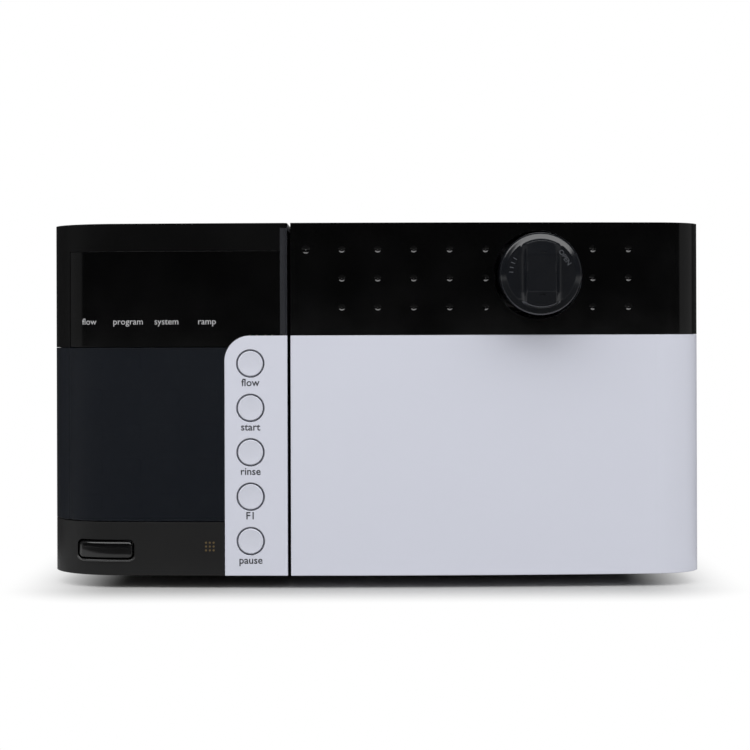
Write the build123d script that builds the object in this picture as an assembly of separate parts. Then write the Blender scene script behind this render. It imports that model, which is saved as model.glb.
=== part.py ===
from build123d import *
import os
from math import cos, sin, pi, sqrt

os.makedirs("parts", exist_ok=True)

# Solvent delivery pump module of a liquid chromatograph, in millimetres.
# X runs to the right, -Y is the front and Z is up. The origin is the centre of the footprint.

# Clearances
SEAM = 0.35          # visible gap between two moulded panels
RUN = 0.05           # radial clearance of a shaft in its bore
AIR = 0.4            # gap kept round what moves
SEAT = 0.02          # radial clearance of a pin pressed in its lug
CUT = 1.0            # how far a cutter reaches past what it cuts

# Front unit
HALF_W = 130.0
FRONT_Y = -194.0     # front of the bowed fascia on the centre line
REAR_Y = 208.5       # outer face of the rear panel
BOTTOM_Z = 5.0       # lower edge of the fascia and the door
TOP_Z = 144.0
BOW_R = 1400.0       # plan radius of the bowed front
CORNER_L = 30.0      # plan radius of the left front corner
CORNER_R = 20.0      # plan radius of the right front corner
RIM_Y = FRONT_Y + 44.0   # front face of the rim that meets the sheet-metal case
RIM_T = 1.8

# Wall thicknesses
WALL = 2.5           # moulded front parts
EDGE_R = 2.3         # rounding of the header's edge beside the door
LID_T = 2.2          # smoked keypad cover and white button strip
SHEET = 1.2          # chassis, bulkhead and rear panel
COVER_T = 1.0        # sheet-metal top cover
BAND_T = 1.2         # glossy cap over the upper door
LEDGE_T = 2.0

# Where the front is divided
GAP_X = -34.6        # right edge of the fixed control panel
DOOR_X = GAP_X + 1.3     # left edge of the door
BAND_Z = TOP_Z - 44.4    # where black changes to white
STRIP_X = GAP_X - 24.8   # left edge of the button strip
STRIP_CORNER = 10.0
WINDOW_X = (-HALF_W + 8.3, GAP_X - 2.4)
WINDOW_Z = (BAND_Z - 4.4, TOP_Z - 10.8)
WINDOW_T = 1.5
COVER_Z = (BOTTOM_Z + 21.4, WINDOW_Z[0] - 0.3)

# Display behind the window
DISPLAY_X = (WINDOW_X[0] + 11.7, WINDOW_X[1] - 9.0)
DISPLAY_Z = (WINDOW_Z[1] - 20.2, WINDOW_Z[1] - 4.2)

# Round buttons and the power button
BUTTON_NAMES = ["flow", "start", "rinse", "f1", "pause"]
BUTTON_X = GAP_X - 14.6
BUTTON_TOP_Z = BAND_Z - 11.0
BUTTON_LOW_Z = BOTTOM_Z + 13.6
BUTTON_PITCH = (BUTTON_TOP_Z - BUTTON_LOW_Z) / (len(BUTTON_NAMES) - 1)
BUTTON_HOLE_R = 5.6
BUTTON_R = 4.95
BUTTON_TRAVEL = 0.8
BUTTON_STEM_R = 2.5
BUTTON_PROUD = 0.25
BACKING_IN = 5.0     # depth of the wall behind the button strip
POWER_X = -HALF_W + 23.0
POWER_Z = BOTTOM_Z + 10.1
POWER_W = 22.0
POWER_H = 6.7
POWER_TRAVEL = 2.0
POWER_PROUD = 0.9

# Keypad recess behind the smoked cover, and the circuit board behind it
DECK_Y = FRONT_Y + 18.0
DECK_T = 2.0
DECK_X = -HALF_W + 7.5   # outer face of the recess's left wall
KEY_W = 9.0
KEY_H = 6.5
KEY_T = 2.0
KEY_COUNT = (4, 5)   # columns and rows
KEY_X = (DECK_X + 8.5, STRIP_X - 8.3)        # first and last column
KEY_Z = (COVER_Z[0] + 6.6, COVER_Z[1] - 5.9)     # lowest and highest row
MEMBRANE_T = 1.2
LID_AXIS = (-HALF_W + 3.8, RIM_Y - 5.5)
LID_PIN_R = 1.1
LID_EAR_T = 3.0
PCB_T = 1.6
BOARD_Y = DECK_Y + DECK_T + 1.6
SWITCH_H = 3.6
POWER_BODY_Y = DECK_Y + 4.0

# Door hinge, rails and pump bay
DOOR_AXIS = (DOOR_X + 14.0, FRONT_Y + 5.5)
DOOR_PIN_R = 1.5
LUG_R = 2.6
ARM_X = (DOOR_AXIS[0] + 10.5, DOOR_AXIS[0] + 16.0)   # the lugs' arms, clear of the door's left edge
ARM_END_Y = DOOR_AXIS[1] + 32.0
RAIL_T = 2.5
RAIL_LOW_Z = BOTTOM_Z + WALL + 0.3   # underside of the lower rail, just above the door's bottom flange
RAIL_TOP_Z = TOP_Z - WALL - 0.3      # upper side of the top rail, just below the door's top flange
BULKHEAD_Y = RIM_Y + 40.0
BAY_RIGHT_X = HALF_W - 5.7
MAGNET_X = (BAY_RIGHT_X - 15.0, BAY_RIGHT_X - 9.0)
MAGNET_Y = (DECK_Y - 6.6, DECK_Y)
MAGNET_Z = (68.0, 82.0)

# Dimples in the black band
DIMPLE_R = 1.3
DIMPLE_DEPTH = 0.45
DIMPLE_X0 = DOOR_X + 6.1
DIMPLE_PITCH = 14.17
DIMPLE_ROW_PITCH = 11.4
DIMPLE_TOP_Z = TOP_Z - 10.5

# Drain knob and its valve
KNOB_X = 64.5
KNOB_Z = TOP_Z - 20.6
KNOB_BASE_R = 16.1
KNOB_FACE_R = 14.0
KNOB_SKIRT_R = 15.4
KNOB_FACE_Y = FRONT_Y - 12.6
KNOB_FRONT_Y = FRONT_Y - 16.0
KNOB_BACK_Y = DECK_Y
KNOB_HOLE_R = 17.5
GRIP_W = 13.0
GRIP_L = 26.0
STEM_R = 4.0
STEM_FRONT_Y = FRONT_Y - 2.0
STEM_IN = 16.0       # how far the stem reaches into the block
BLOCK_HALF = 12.5
BLOCK_Y = BULKHEAD_Y - 40.0
SPIGOT_R = 1.8
SPIGOT_L = 6.0

# Case
FLOOR_Z = 6.6
FLOOR_TOP_Z = FLOOR_Z + SHEET
FOOT_R = 9.0
FOOT_STUD_R = 3.0
FOOT_X = HALF_W - 30.0
FOOT_Y = (RIM_Y + 30.0, REAR_Y - 28.5)
COVER_FRONT_Y = RIM_Y + 2.0
COVER_TOP_Z = TOP_Z - 0.4
COVER_HALF_W = HALF_W - 0.4
SCREW_Y = (RIM_Y + 40.0, 30.0, REAR_Y - 28.5)
SCREW_Z = 14.0
SCREW_R = 1.4
SCREW_HEAD_R = 2.9
LIP_H = 14.0         # side lips of the chassis
SLOT_W = 3.2         # vent slots in the cover's sides
SLOT_PITCH = 9.0
SLOT_COUNT = 12
SLOT_Y = REAR_Y - 148.5
SLOT_Z = (TOP_Z - 74.0, TOP_Z - 32.0)

# Pump heads and their drive
PUMP_X = {"left": 4.0, "right": 38.0}
PUMP_Z = 62.0
BAY_Y = BULKHEAD_Y - SHEET
HOLDER_R = 15.0
HOLDER_L = 12.0
HEAD_W = 28.0
HEAD_H = 36.0
HEAD_D = 26.0
HEAD_BACK_Y = BAY_Y - HOLDER_L
HEAD_FRONT_Y = HEAD_BACK_Y - HEAD_D
PLUNGER_R = 1.6
PLUNGER_L = 40.0
PLUNGER_IN = 5.0     # depth of the plunger's seat in the crosshead
STROKE = 6.0
CROSS_R = 11.0
CAM_Y = BULKHEAD_Y + 65.0
CROSS_FACE_Y = CAM_Y - 49.0  # front face of a drawn-back crosshead
ROLLER_R = 8.0
ROLLER_W = 7.0
ROLLER_PIN_R = 2.0
PITCH_MIN = 20.0       # smallest distance from the camshaft to a roller's centre
CAM_GAP = 0.3
CAM_W = 7.0
SHAFT_R = 5.0
BEARING_R = 9.0
HOUSING_X = (PUMP_X["left"] - 23.0, PUMP_X["right"] + 23.0)
HOUSING_WALL = 5.0
HOUSING_SKIN = 4.0   # top, bottom and rear of the housing
HOUSING_FRONT = 3.0  # wall that the return springs press on
HOUSING_Y = (BULKHEAD_Y, CAM_Y + 24.0)
HOUSING_Z = (PUMP_Z - 24.0, PUMP_Z + 24.0)
LEG_Y = ((HOUSING_Y[0] + 10.0, HOUSING_Y[0] + 24.0), (HOUSING_Y[1] - 19.0, HOUSING_Y[1]))
GUIDE_END_Y = CAM_Y - 27.0
PLUNGER_HOLE_R = 4.0
BELT_X = (HOUSING_X[1] + 2.2, HOUSING_X[1] + 9.2)
BELT_T = 1.5
HOLE_X = (BELT_X[0] - 5.0, BELT_X[1] + 5.0)    # reach of the pulleys' bores
DRIVEN_R = 20.0
DRIVE_R = 8.0
FLANGE = 3.0         # how far a pulley's flanges stand over its rim
MOTOR_Y = CAM_Y + 73.2
MOTOR_SIDE = 56.4
MOTOR_X = (HOUSING_X[1] - 59.0, HOUSING_X[1] - 3.0)
MOTOR_SHAFT_R = 3.15
SPRING_R = 6.5
WIRE_R = 0.7

# Valves, tubes and sensor
TUBE_R = 0.8
TUBE_SEAT = 4.0      # depth of a tube's end in its fitting
TUBE_BEND = 3.0
VALVE_R = 5.5
VALVE_L = 12.0
VALVE_PLUG_R = 3.5
VALVE_Y = HEAD_BACK_Y - HEAD_D / 2
TUBE_HIGH_Z = KNOB_Z - BLOCK_HALF - 1.6
TUBE_LOW_Z = TUBE_HIGH_Z - 2.6
SENSOR_X = (PUMP_X["right"] + 42.0, PUMP_X["right"] + 72.0)
SENSOR_Z = (56.0, 84.0)
SENSOR_Y = (BULKHEAD_Y - 29.0, BAY_Y)
FILTER_X = (SENSOR_X[0] + SENSOR_X[1]) / 2
FILTER_Y = BULKHEAD_Y - 10.0
FILTER_R = 5.5
FILTER_TOP_Z = KNOB_Z - 15.4
TRAY_X = (GAP_X + 4.6, BAY_RIGHT_X - 6.3)
TRAY_Y = (RIM_Y - 12.0, BULKHEAD_Y - 4.0)
TRAY_Z = (RAIL_LOW_Z + RAIL_T, RAIL_LOW_Z + RAIL_T + 5.0)
TRAY_T = 1.5
TEE_R = 2.6
INLET_TUBE_Z = TRAY_Z[1] + 4.7

# Fan, sockets and electronics
FAN_X = HALF_W - 68.0
FAN_Z = TOP_Z - 60.0
FAN_SIDE = 80.0
FAN_T = 25.0
FAN_BORE_R = 37.5
FAN_HUB_R = 14.0
FAN_AXLE_R = 2.0
FAN_BLADES = 7
INLET_X = -HALF_W + 34.0
INLET_Z = BOTTOM_Z + 31.0
INLET_HALF = (14.0, 10.5)    # half the width and height of its cut-out
CONNECTORS = [(-HALF_W + 32.0, 32.0), (-HALF_W + 72.0, 24.0), (-HALF_W + 106.0, 16.0)]   # place in X, width
CONNECTOR_Z = TOP_Z - 40.0
CONNECTOR_HALF_H = 6.0
SOCKET_PROUD = 1.5   # how far the sockets stand out of the rear panel
BOARD_Z = 14.0
BOARD_X = (-HALF_W + 12.0, HOUSING_X[0] - 9.0)
MAIN_BOARD_Y = (BULKHEAD_Y + 12.0, BULKHEAD_Y + 178.0)
CHIPS = ((18, 38, 16, 16, 4), (58, 38, 24, 24, 3))        # place on the board, then width, depth and height
COILS = ((58, 108, 14, 30, 20), (22, 108, 26, 22, 18))    # transformer and coil, in the same order
CAPACITORS_Y = (68, 82, 138, 152)
CAPACITOR_R = 5.0
CAPACITOR_H = 18.0
SUPPLY_X = (BOARD_X[0], BOARD_X[0] + 94.0)
SUPPLY_Y = (MAIN_BOARD_Y[1] + 10.0, MAIN_BOARD_Y[1] + 106.0)
SUPPLY_TOP_Z = 62.0
VENT_X = (SUPPLY_X[0] + 8.0, SUPPLY_X[0] + 48.0)
VENT_Y = (SUPPLY_Y[0] + 12.0, SUPPLY_Y[0] + 75.0)     # first and last vent slot in the supply's lid
VENT_COUNT = 8
VENT_W = 3.0
VENT_DEPTH = 4.0


def block(x, y, z):
    """Box between two X, two Y and two Z places."""
    size = Box(x[1] - x[0], y[1] - y[0], z[1] - z[0])
    return Pos((x[0] + x[1]) / 2, (y[0] + y[1]) / 2, (z[0] + z[1]) / 2) * size


def rod_x(r, x, y, z):
    """Cylinder along X."""
    return Pos((x[0] + x[1]) / 2, y, z) * Rot(0, 90, 0) * Cylinder(r, x[1] - x[0])


def rod_y(r, x, y, z):
    """Cylinder along Y."""
    return Pos(x, (y[0] + y[1]) / 2, z) * Rot(90, 0, 0) * Cylinder(r, y[1] - y[0])


def rod_z(r, x, y, z):
    """Cylinder along Z."""
    return Pos(x, y, (z[0] + z[1]) / 2) * Cylinder(r, z[1] - z[0])


def prism_y(sketch, y):
    """Outline drawn in X and Z, from y[0] to y[1]."""
    return Pos(0, y[1], 0) * extrude(Plane.XZ * sketch, y[1] - y[0])


def prism_x(sketch, x):
    """Outline drawn in Y and Z, from x[0] to x[1]."""
    return Pos(x[0], 0, 0) * extrude(Plane.YZ * sketch, x[1] - x[0])


def prism_z(sketch, z):
    """Outline drawn in X and Y, from z[0] to z[1]."""
    return Pos(0, 0, z[0]) * extrude(sketch, z[1] - z[0])


def save(name, *solids):
    """Writes one node, as one solid or as a group of separate ones."""
    shape = solids[0] if len(solids) == 1 else Compound(children=list(solids))
    export_step(shape, f"parts/{name}.step")


def front_y(x):
    """Y of the fascia's outer face at x."""
    centre_y = FRONT_Y + BOW_R
    for side, r in ((-1, CORNER_L), (1, CORNER_R)):
        corner_x = side * (HALF_W - r)
        if side * x > side * corner_x * BOW_R / (BOW_R - r):
            corner_y = centre_y - sqrt((BOW_R - r) ** 2 - corner_x ** 2)
            return corner_y - sqrt(r ** 2 - (x - corner_x) ** 2)
    return centre_y - sqrt(BOW_R ** 2 - x ** 2)


def plan(inset, back_y):
    """Plan outline of the front unit, drawn in by inset and closed at back_y."""
    half = HALF_W - inset
    bow = BOW_R - inset
    side_y = FRONT_Y + BOW_R - sqrt(bow ** 2 - half ** 2)
    front = ThreePointArc((-half, side_y), (0, FRONT_Y + inset), (half, side_y))
    sides = Polyline((half, side_y), (half, back_y), (-half, back_y), (-half, side_y))
    face = make_face(front + sides)
    left = face.vertices().sort_by(Axis.Y)[:2].sort_by(Axis.X)[0]
    face = fillet(left, CORNER_L - inset)
    right = face.vertices().filter_by(lambda v: v.Y < back_y - 1).sort_by(Axis.X)[-1]
    return fillet(right, CORNER_R - inset)


def skin(outer, inner, x, z, back_y=RIM_Y):
    """Part of the bowed front between two insets, two X and two Z places."""
    wall = prism_z(plan(outer, back_y), z) - prism_z(plan(inner, back_y + WALL), (z[0] - 1, z[1] + 1))
    return wall & block(x, (FRONT_Y - 5, back_y), z)


def slab(inset, x, y_back, z):
    """Whole plan area behind the front, as a horizontal plate."""
    return prism_z(plan(inset, RIM_Y), z) & block(x, (FRONT_Y - 5, y_back), z)


def strip_outline(grow):
    """Outline of the button strip with its rounded upper left corner, in X and Z."""
    low = BOTTOM_Z - (1 if grow else 0)
    x = (STRIP_X - grow, GAP_X + grow)
    top = BAND_Z + grow
    r = STRIP_CORNER + grow
    edge = Polyline((x[0], top - r), (x[0], low), (x[1], low), (x[1], top), (x[0] + r, top))
    corner = RadiusArc((x[0] + r, top), (x[0], top - r), -r)
    return make_face(edge + corner)


def circle_at(x, z, r):
    return Pos(x, z) * Circle(r)


def button_places():
    return [BUTTON_TOP_Z - BUTTON_PITCH * i for i in range(len(BUTTON_NAMES))]


def spaced(ends, count):
    """Evenly spaced places from the first end to the last."""
    return [ends[0] + (ends[1] - ends[0]) * i / (count - 1) for i in range(count)]


def board_screws():
    """Places of the front board's four bosses, in X and Z."""
    return [(x, z) for x in (DECK_X + 10.5, STRIP_X - 4.6) for z in (COVER_Z[0] + 5.6, COVER_Z[1] - 2.9)]


# ---------------------------------------------------------------- front moulding

def make_front_frame():
    """One moulding: control housing on the left, rim and rails round the pump bay."""
    whole_z = (BOTTOM_Z, TOP_Z)
    panel_x = (-HALF_W, GAP_X)
    ledge_z = (WINDOW_Z[0] - 0.1, WINDOW_Z[0] - 0.1 + LEDGE_T)
    band_top = COVER_Z[0] - AIR
    rim = block((-HALF_W, HALF_W), (RIM_Y, RIM_Y + RIM_T), whole_z)
    rim -= block((DECK_X + LEDGE_T, GAP_X - 4), (RIM_Y - 1, RIM_Y + 5), (BOTTOM_Z + WALL, TOP_Z - WALL))
    bay_z = (RAIL_LOW_Z + RAIL_T, RAIL_TOP_Z - RAIL_T)
    rim -= block((GAP_X - 2, BAY_RIGHT_X - 2), (RIM_Y - 1, RIM_Y + 5), bay_z)
    frame = rim
    # Header above the window, window surround and the band below the keypad
    frame += skin(0, WALL, panel_x, (WINDOW_Z[1], TOP_Z))
    frame += skin(0, WALL, (-HALF_W, WINDOW_X[0]), (ledge_z[0], TOP_Z))
    frame += skin(0, WALL, (WINDOW_X[1], GAP_X), (BAND_Z + SEAM, TOP_Z))
    frame += skin(WINDOW_T + 0.1, WINDOW_T + LEDGE_T, panel_x, (ledge_z[0], TOP_Z))
    frame += skin(0, WALL, (-HALF_W, STRIP_X - SEAM), (BOTTOM_Z, band_top))
    # Flanges and ledges
    frame += slab(0, panel_x, RIM_Y, (TOP_Z - WALL, TOP_Z))
    low = (-HALF_W, STRIP_X - SEAM)
    frame += slab(0, low, RIM_Y, (BOTTOM_Z, BOTTOM_Z + WALL))
    frame += slab(BACKING_IN, panel_x, RIM_Y, (BOTTOM_Z, BOTTOM_Z + WALL))
    deck_back = DECK_Y + DECK_T
    hinge_x = (-HALF_W, DECK_X + LEDGE_T)
    frame += slab(0, low, deck_back, (band_top - LEDGE_T, band_top))
    frame += slab(0, hinge_x, RIM_Y, (band_top - LEDGE_T, band_top))
    frame += slab(WINDOW_T + 0.1, (-HALF_W, STRIP_X + 4), deck_back, ledge_z)
    frame += slab(WINDOW_T + 0.1, hinge_x, RIM_Y, ledge_z)
    strip_room = skin(-1, BACKING_IN, (STRIP_X - 1, GAP_X + 1), (0, TOP_Z))
    frame -= strip_room & prism_y(strip_outline(SEAM), (FRONT_Y - 5, RIM_Y))
    # Keypad recess and the wall behind the strip
    recess_z = (band_top - LEDGE_T, ledge_z[1])
    frame += block((DECK_X, STRIP_X), (DECK_Y, DECK_Y + DECK_T), recess_z)
    frame += block((DECK_X, DECK_X + LEDGE_T), (DECK_Y, RIM_Y + RIM_T), recess_z)
    backing = skin(BACKING_IN, BACKING_IN + LEDGE_T, (STRIP_X, GAP_X), (BOTTOM_Z, BAND_Z))
    side_y = (FRONT_Y + BACKING_IN + 2, DECK_Y + DECK_T)
    backing += block((STRIP_X, STRIP_X + LEDGE_T), side_y, (BOTTOM_Z, BAND_Z))
    frame += backing
    # Right wall of the control housing, rails and right wall of the bay
    wall_x = (GAP_X - 4, GAP_X - 2)
    frame += block(wall_x, (FRONT_Y + 6, BULKHEAD_Y), (RAIL_LOW_Z, RAIL_TOP_Z))
    frame += block(wall_x, (FRONT_Y + 6, RIM_Y + 1), (BOTTOM_Z, TOP_Z))
    rail_x = (GAP_X - 4, BAY_RIGHT_X)
    low_rail_z = (RAIL_LOW_Z, RAIL_LOW_Z + RAIL_T)
    low_rail = block(rail_x, (RIM_Y - 1, BULKHEAD_Y), low_rail_z)
    low_rail += slab(WALL + 0.8, rail_x, RIM_Y, low_rail_z)
    frame += low_rail - block((GAP_X - 5, ARM_X[0]), (FRONT_Y - 1, DOOR_AXIS[1] + 16), low_rail_z)
    frame -= rod_z(4, FOOT_X, FOOT_Y[0], (RAIL_LOW_Z - 1, RAIL_LOW_Z + RAIL_T + 1))
    frame += block(rail_x, (FRONT_Y + 34, BULKHEAD_Y), (RAIL_TOP_Z - RAIL_T, RAIL_TOP_Z))
    frame += block((BAY_RIGHT_X - 2, BAY_RIGHT_X), (DECK_Y, BULKHEAD_Y), (RAIL_LOW_Z, RAIL_TOP_Z))
    # Hinge lugs of the door, on angled arms that leave room for the door's edge behind the pin
    x, y = DOOR_AXIS
    front = [(x, y + LUG_R), (x, y - LUG_R), (ARM_X[1], y - LUG_R)]
    back = [(ARM_X[1], ARM_END_Y), (ARM_X[0], ARM_END_Y), (ARM_X[0], y + 1.5 * LUG_R)]
    arm = make_face(Polyline(*front, *back, front[0]))
    lug = arm + Pos(x, y) * Circle(LUG_R) - Pos(x, y) * Circle(DOOR_PIN_R + SEAT)
    frame += prism_z(lug, (RAIL_LOW_Z, RAIL_LOW_Z + RAIL_T))
    frame += prism_z(lug, (RAIL_TOP_Z - RAIL_T, RAIL_TOP_Z))
    for z in (RAIL_LOW_Z, RAIL_TOP_Z - RAIL_T):
        frame -= rod_z(DOOR_PIN_R + SEAT, x, y, (z - 1, z + RAIL_T + 1))
    # Magnet bracket at the right
    bracket_z = (MAGNET_Z[0] - 2, MAGNET_Z[1] + 2)
    frame += block((MAGNET_X[0] - 1, BAY_RIGHT_X - 1), (DECK_Y, DECK_Y + DECK_T), bracket_z)
    # Bosses for the circuit board
    for bx, bz in board_screws():
        frame += rod_y(3, bx, (DECK_Y + 1, BOARD_Y), bz)
    # Hinge stubs of the keypad cover
    px, py = LID_AXIS
    frame += rod_z(LID_PIN_R, px, py, (band_top - 0.5, COVER_Z[0] + LID_EAR_T - AIR))
    frame += rod_z(LID_PIN_R, px, py, (COVER_Z[1] - LID_EAR_T + AIR, ledge_z[0] + 0.5))
    # Rounded edge beside the door
    edge_y = front_y(GAP_X)
    middle = (EDGE_R - CUT) / 2
    square = Pos(GAP_X - middle, edge_y + middle) * Rectangle(EDGE_R + CUT, EDGE_R + CUT)
    round_edge = Pos(GAP_X - EDGE_R, edge_y + EDGE_R) * Circle(EDGE_R)
    frame -= prism_z(square - round_edge, (BAND_Z + SEAM - 0.1, TOP_Z + CUT))
    # Cut-outs
    frame -= block(DISPLAY_X, (FRONT_Y - CUT, DECK_Y), DISPLAY_Z)
    for z in button_places():
        frame -= rod_y(BUTTON_STEM_R + 0.3, BUTTON_X, (FRONT_Y, DECK_Y + 5), z)
    power = RectangleRounded(POWER_W + 1.2, POWER_H + 1.2, 2.2)
    frame -= prism_y(Pos(POWER_X, POWER_Z) * power, (FRONT_Y - 1, DECK_Y))
    return frame


def make_display_window():
    """Glossy black window set in its pocket, cut away round the button strip."""
    inner_x = (WINDOW_X[0] + SEAM / 2, WINDOW_X[1] - SEAM / 2)
    inner_z = (WINDOW_Z[0] + SEAM / 2, WINDOW_Z[1] - SEAM / 2)
    window = skin(0, WINDOW_T, inner_x, inner_z)
    return window - prism_y(strip_outline(SEAM), (FRONT_Y - 2, RIM_Y))


def make_button_strip():
    """White strip with a rim round its back and five round holes."""
    whole = skin(0, BACKING_IN, (STRIP_X - 1, GAP_X + 1), (BOTTOM_Z, BAND_Z))
    strip = whole & prism_y(strip_outline(0), (FRONT_Y - 2, RIM_Y))
    inner = skin(LID_T, BACKING_IN + 1, (STRIP_X + 1.5, GAP_X - 1.5), (BOTTOM_Z + 2, BAND_Z - 3.5))
    strip -= inner
    for z in button_places():
        strip -= rod_y(BUTTON_HOLE_R, BUTTON_X, (FRONT_Y - 2, RIM_Y), z)
    return strip


def make_button(z):
    """Round cap with a shallow dish, a retaining collar and a stem to its switch."""
    face_y = front_y(BUTTON_X) - BUTTON_PROUD
    strip_back = front_y(BUTTON_X - BUTTON_HOLE_R - 1) + LID_T
    collar_y = (strip_back + AIR, strip_back + AIR + 0.8)
    button = rod_y(BUTTON_R, BUTTON_X, (face_y, collar_y[1]), z)
    button = fillet(button.edges().sort_by(Axis.Y)[0], 0.5)
    dish_r = 60.0
    button -= Pos(BUTTON_X, face_y - dish_r + 0.25, z) * Sphere(dish_r)
    button += rod_y(BUTTON_HOLE_R + 0.6, BUTTON_X, collar_y, z)
    stem_end = BOARD_Y - SWITCH_H - BUTTON_TRAVEL - 0.1
    button += rod_y(BUTTON_STEM_R, BUTTON_X, (collar_y[0], stem_end), z)
    return button


def make_front_board():
    """Circuit board with its tactile switches and indicator lamps soldered on."""
    board_y = (BOARD_Y, BOARD_Y + PCB_T)
    right = GAP_X - 6.4
    low_z = COVER_Z[0] + 1.6
    board = block((DECK_X + 5.5, right), board_y, (low_z, TOP_Z - 8))
    board += block((STRIP_X - 0.6, right), board_y, (BUTTON_LOW_Z - 6.6, low_z + 1))
    for z in button_places():
        board += block((BUTTON_X - 3, BUTTON_X + 3), (BOARD_Y - SWITCH_H, BOARD_Y + 0.1), (z - 3, z + 3))
    return board


def make_power_button():
    """Rounded bar cap, bowed like the fascia, on a stem to the mains switch."""
    outline = Pos(POWER_X, POWER_Z) * RectangleRounded(POWER_W, POWER_H, 1.8)
    depth_y = front_y(POWER_X) + 8
    bowed = prism_z(plan(-POWER_PROUD, RIM_Y), (0, 40))
    cap = prism_y(outline, (FRONT_Y - 5, depth_y)) & bowed
    stem_y = (depth_y - 1, POWER_BODY_Y - AIR - POWER_TRAVEL)
    return cap + block((POWER_X - 4, POWER_X + 4), stem_y, (POWER_Z - 2, POWER_Z + 2))


def make_power_switch_body():
    """Mains switch behind the power button, standing on the floor flange."""
    body = block((POWER_X - 9, POWER_X + 9), (POWER_BODY_Y, RIM_Y - 3), (BOTTOM_Z + WALL, POWER_Z + 8))
    return body + block((POWER_X - 6, POWER_X + 6), (RIM_Y - 3.5, RIM_Y + 1), (POWER_Z - 4, POWER_Z + 4))


def make_keypad():
    """One-piece rubber keypad."""
    pad_x = (DECK_X + LEDGE_T + 0.2, STRIP_X - 1.0)
    pad = block(pad_x, (DECK_Y - MEMBRANE_T, DECK_Y), (COVER_Z[0] + 0.6, COVER_Z[1] - 0.9))
    for x in spaced(KEY_X, KEY_COUNT[0]):
        for z in spaced(KEY_Z, KEY_COUNT[1]):
            key = Pos(x, z) * RectangleRounded(KEY_W, KEY_H, 1.5)
            pad += prism_y(key, (DECK_Y - MEMBRANE_T - KEY_T, DECK_Y - MEMBRANE_T + 0.2))
    return pad


def make_keypad_cover():
    """Smoked cover that wraps the left corner and swings on two stubs."""
    px, py = LID_AXIS
    back = py + 1.8
    cover = skin(0, LID_T, (-HALF_W, GAP_X), COVER_Z, back)
    cover -= prism_y(strip_outline(SEAM), (FRONT_Y - 2, RIM_Y))
    cover = cover & block((-HALF_W, STRIP_X + STRIP_CORNER), (FRONT_Y - 2, back), COVER_Z)
    for z0 in (COVER_Z[0], COVER_Z[1] - LID_EAR_T):
        ear_z = (z0, z0 + LID_EAR_T)
        ear = block((-HALF_W + LID_T - 0.2, px + 2.6), (py - 4, py + 1.8), ear_z)
        ear -= rod_z(LID_PIN_R + RUN, px, py, (z0 - 1, z0 + LID_EAR_T + 1))
        cover += ear
    reach = rod_z(4.1, px, py, (0, TOP_Z))
    tail = block((-HALF_W - 1, px + 4), (py, py + 3), (0, TOP_Z))
    return cover - (tail - reach)


# ---------------------------------------------------------------- door

def flange_corner(z):
    """Rear left corner of the door's flanges, which would swing into the rim."""
    x, y = DOOR_AXIS
    reach = RIM_Y - AIR / 2 - y
    back = RIM_Y - AIR
    inner = (x - sqrt(reach ** 2 - (back - y) ** 2), back)
    outer = (DOOR_X, y + sqrt(reach ** 2 - (x - DOOR_X) ** 2))
    edge = Polyline(inner, outer, (DOOR_X - CUT, outer[1]), (DOOR_X - CUT, RIM_Y), (inner[0], RIM_Y), inner)
    return prism_z(make_face(edge), z)


def make_door_panel():
    """White door shell that wraps the right corner, stepped back under the black cap."""
    door_x = (DOOR_X, HALF_W)
    back = RIM_Y - AIR
    step = BAND_T + 0.05
    low_z = (BOTTOM_Z, BAND_Z)
    high_z = (BAND_Z - 1, TOP_Z - step)
    door = skin(0, WALL, door_x, low_z, back)
    door += skin(step, WALL, door_x, high_z, back)
    door += slab(0, door_x, back, (BOTTOM_Z, BOTTOM_Z + WALL))
    door += slab(step, door_x, back, (TOP_Z - WALL, TOP_Z - step))
    edge_y = (FRONT_Y + 2, DOOR_AXIS[1] + 4.5)
    door += block((DOOR_X, DOOR_X + 2), edge_y, (BOTTOM_Z, TOP_Z - WALL)) & prism_z(plan(step, back), low_z)
    door += block((DOOR_X, DOOR_X + 2), edge_y, (BAND_Z, TOP_Z - WALL)) & prism_z(plan(step, back), high_z)
    door -= flange_corner((BOTTOM_Z - CUT, TOP_Z + CUT))
    x, y = DOOR_AXIS
    hinge_r = DOOR_PIN_R + RUN
    door -= rod_z(hinge_r, x, y, (TOP_Z - WALL - 1, TOP_Z))
    door -= rod_z(hinge_r, x, y, (BOTTOM_Z + 0.6, BOTTOM_Z + WALL + 1))
    door -= rod_y(KNOB_HOLE_R, KNOB_X, (FRONT_Y - 2, DECK_Y), KNOB_Z)
    return door


def make_door_band():
    """Glossy black cap over the door's front, top and right side, with rows of dimples."""
    door_x = (DOOR_X, HALF_W)
    back = RIM_Y - AIR
    band = skin(0, BAND_T, door_x, (BAND_Z + 0.1, TOP_Z), back)
    band += slab(0, door_x, back, (TOP_Z - BAND_T, TOP_Z))
    band -= flange_corner((BAND_Z - CUT, TOP_Z + CUT))
    x, y = DOOR_AXIS
    band -= rod_z(DOOR_PIN_R + RUN, x, y, (TOP_Z - BAND_T - 1, TOP_Z - 0.5))
    band -= rod_y(KNOB_HOLE_R, KNOB_X, (FRONT_Y - 2, DECK_Y), KNOB_Z)
    ball_r = (DIMPLE_R ** 2 + DIMPLE_DEPTH ** 2) / (2 * DIMPLE_DEPTH)
    columns = int((HALF_W - CORNER_R - DIMPLE_X0) / DIMPLE_PITCH)
    dimples = [dimple(DIMPLE_X0, DIMPLE_TOP_Z, ball_r * 1.5)]
    for column in range(1, columns + 1):
        dx = DIMPLE_X0 + DIMPLE_PITCH * column
        if abs(dx - KNOB_X) > KNOB_HOLE_R + 2 * DIMPLE_R:
            dimples += [dimple(dx, DIMPLE_TOP_Z - DIMPLE_ROW_PITCH * row, ball_r) for row in range(3)]
    return band - dimples


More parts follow.
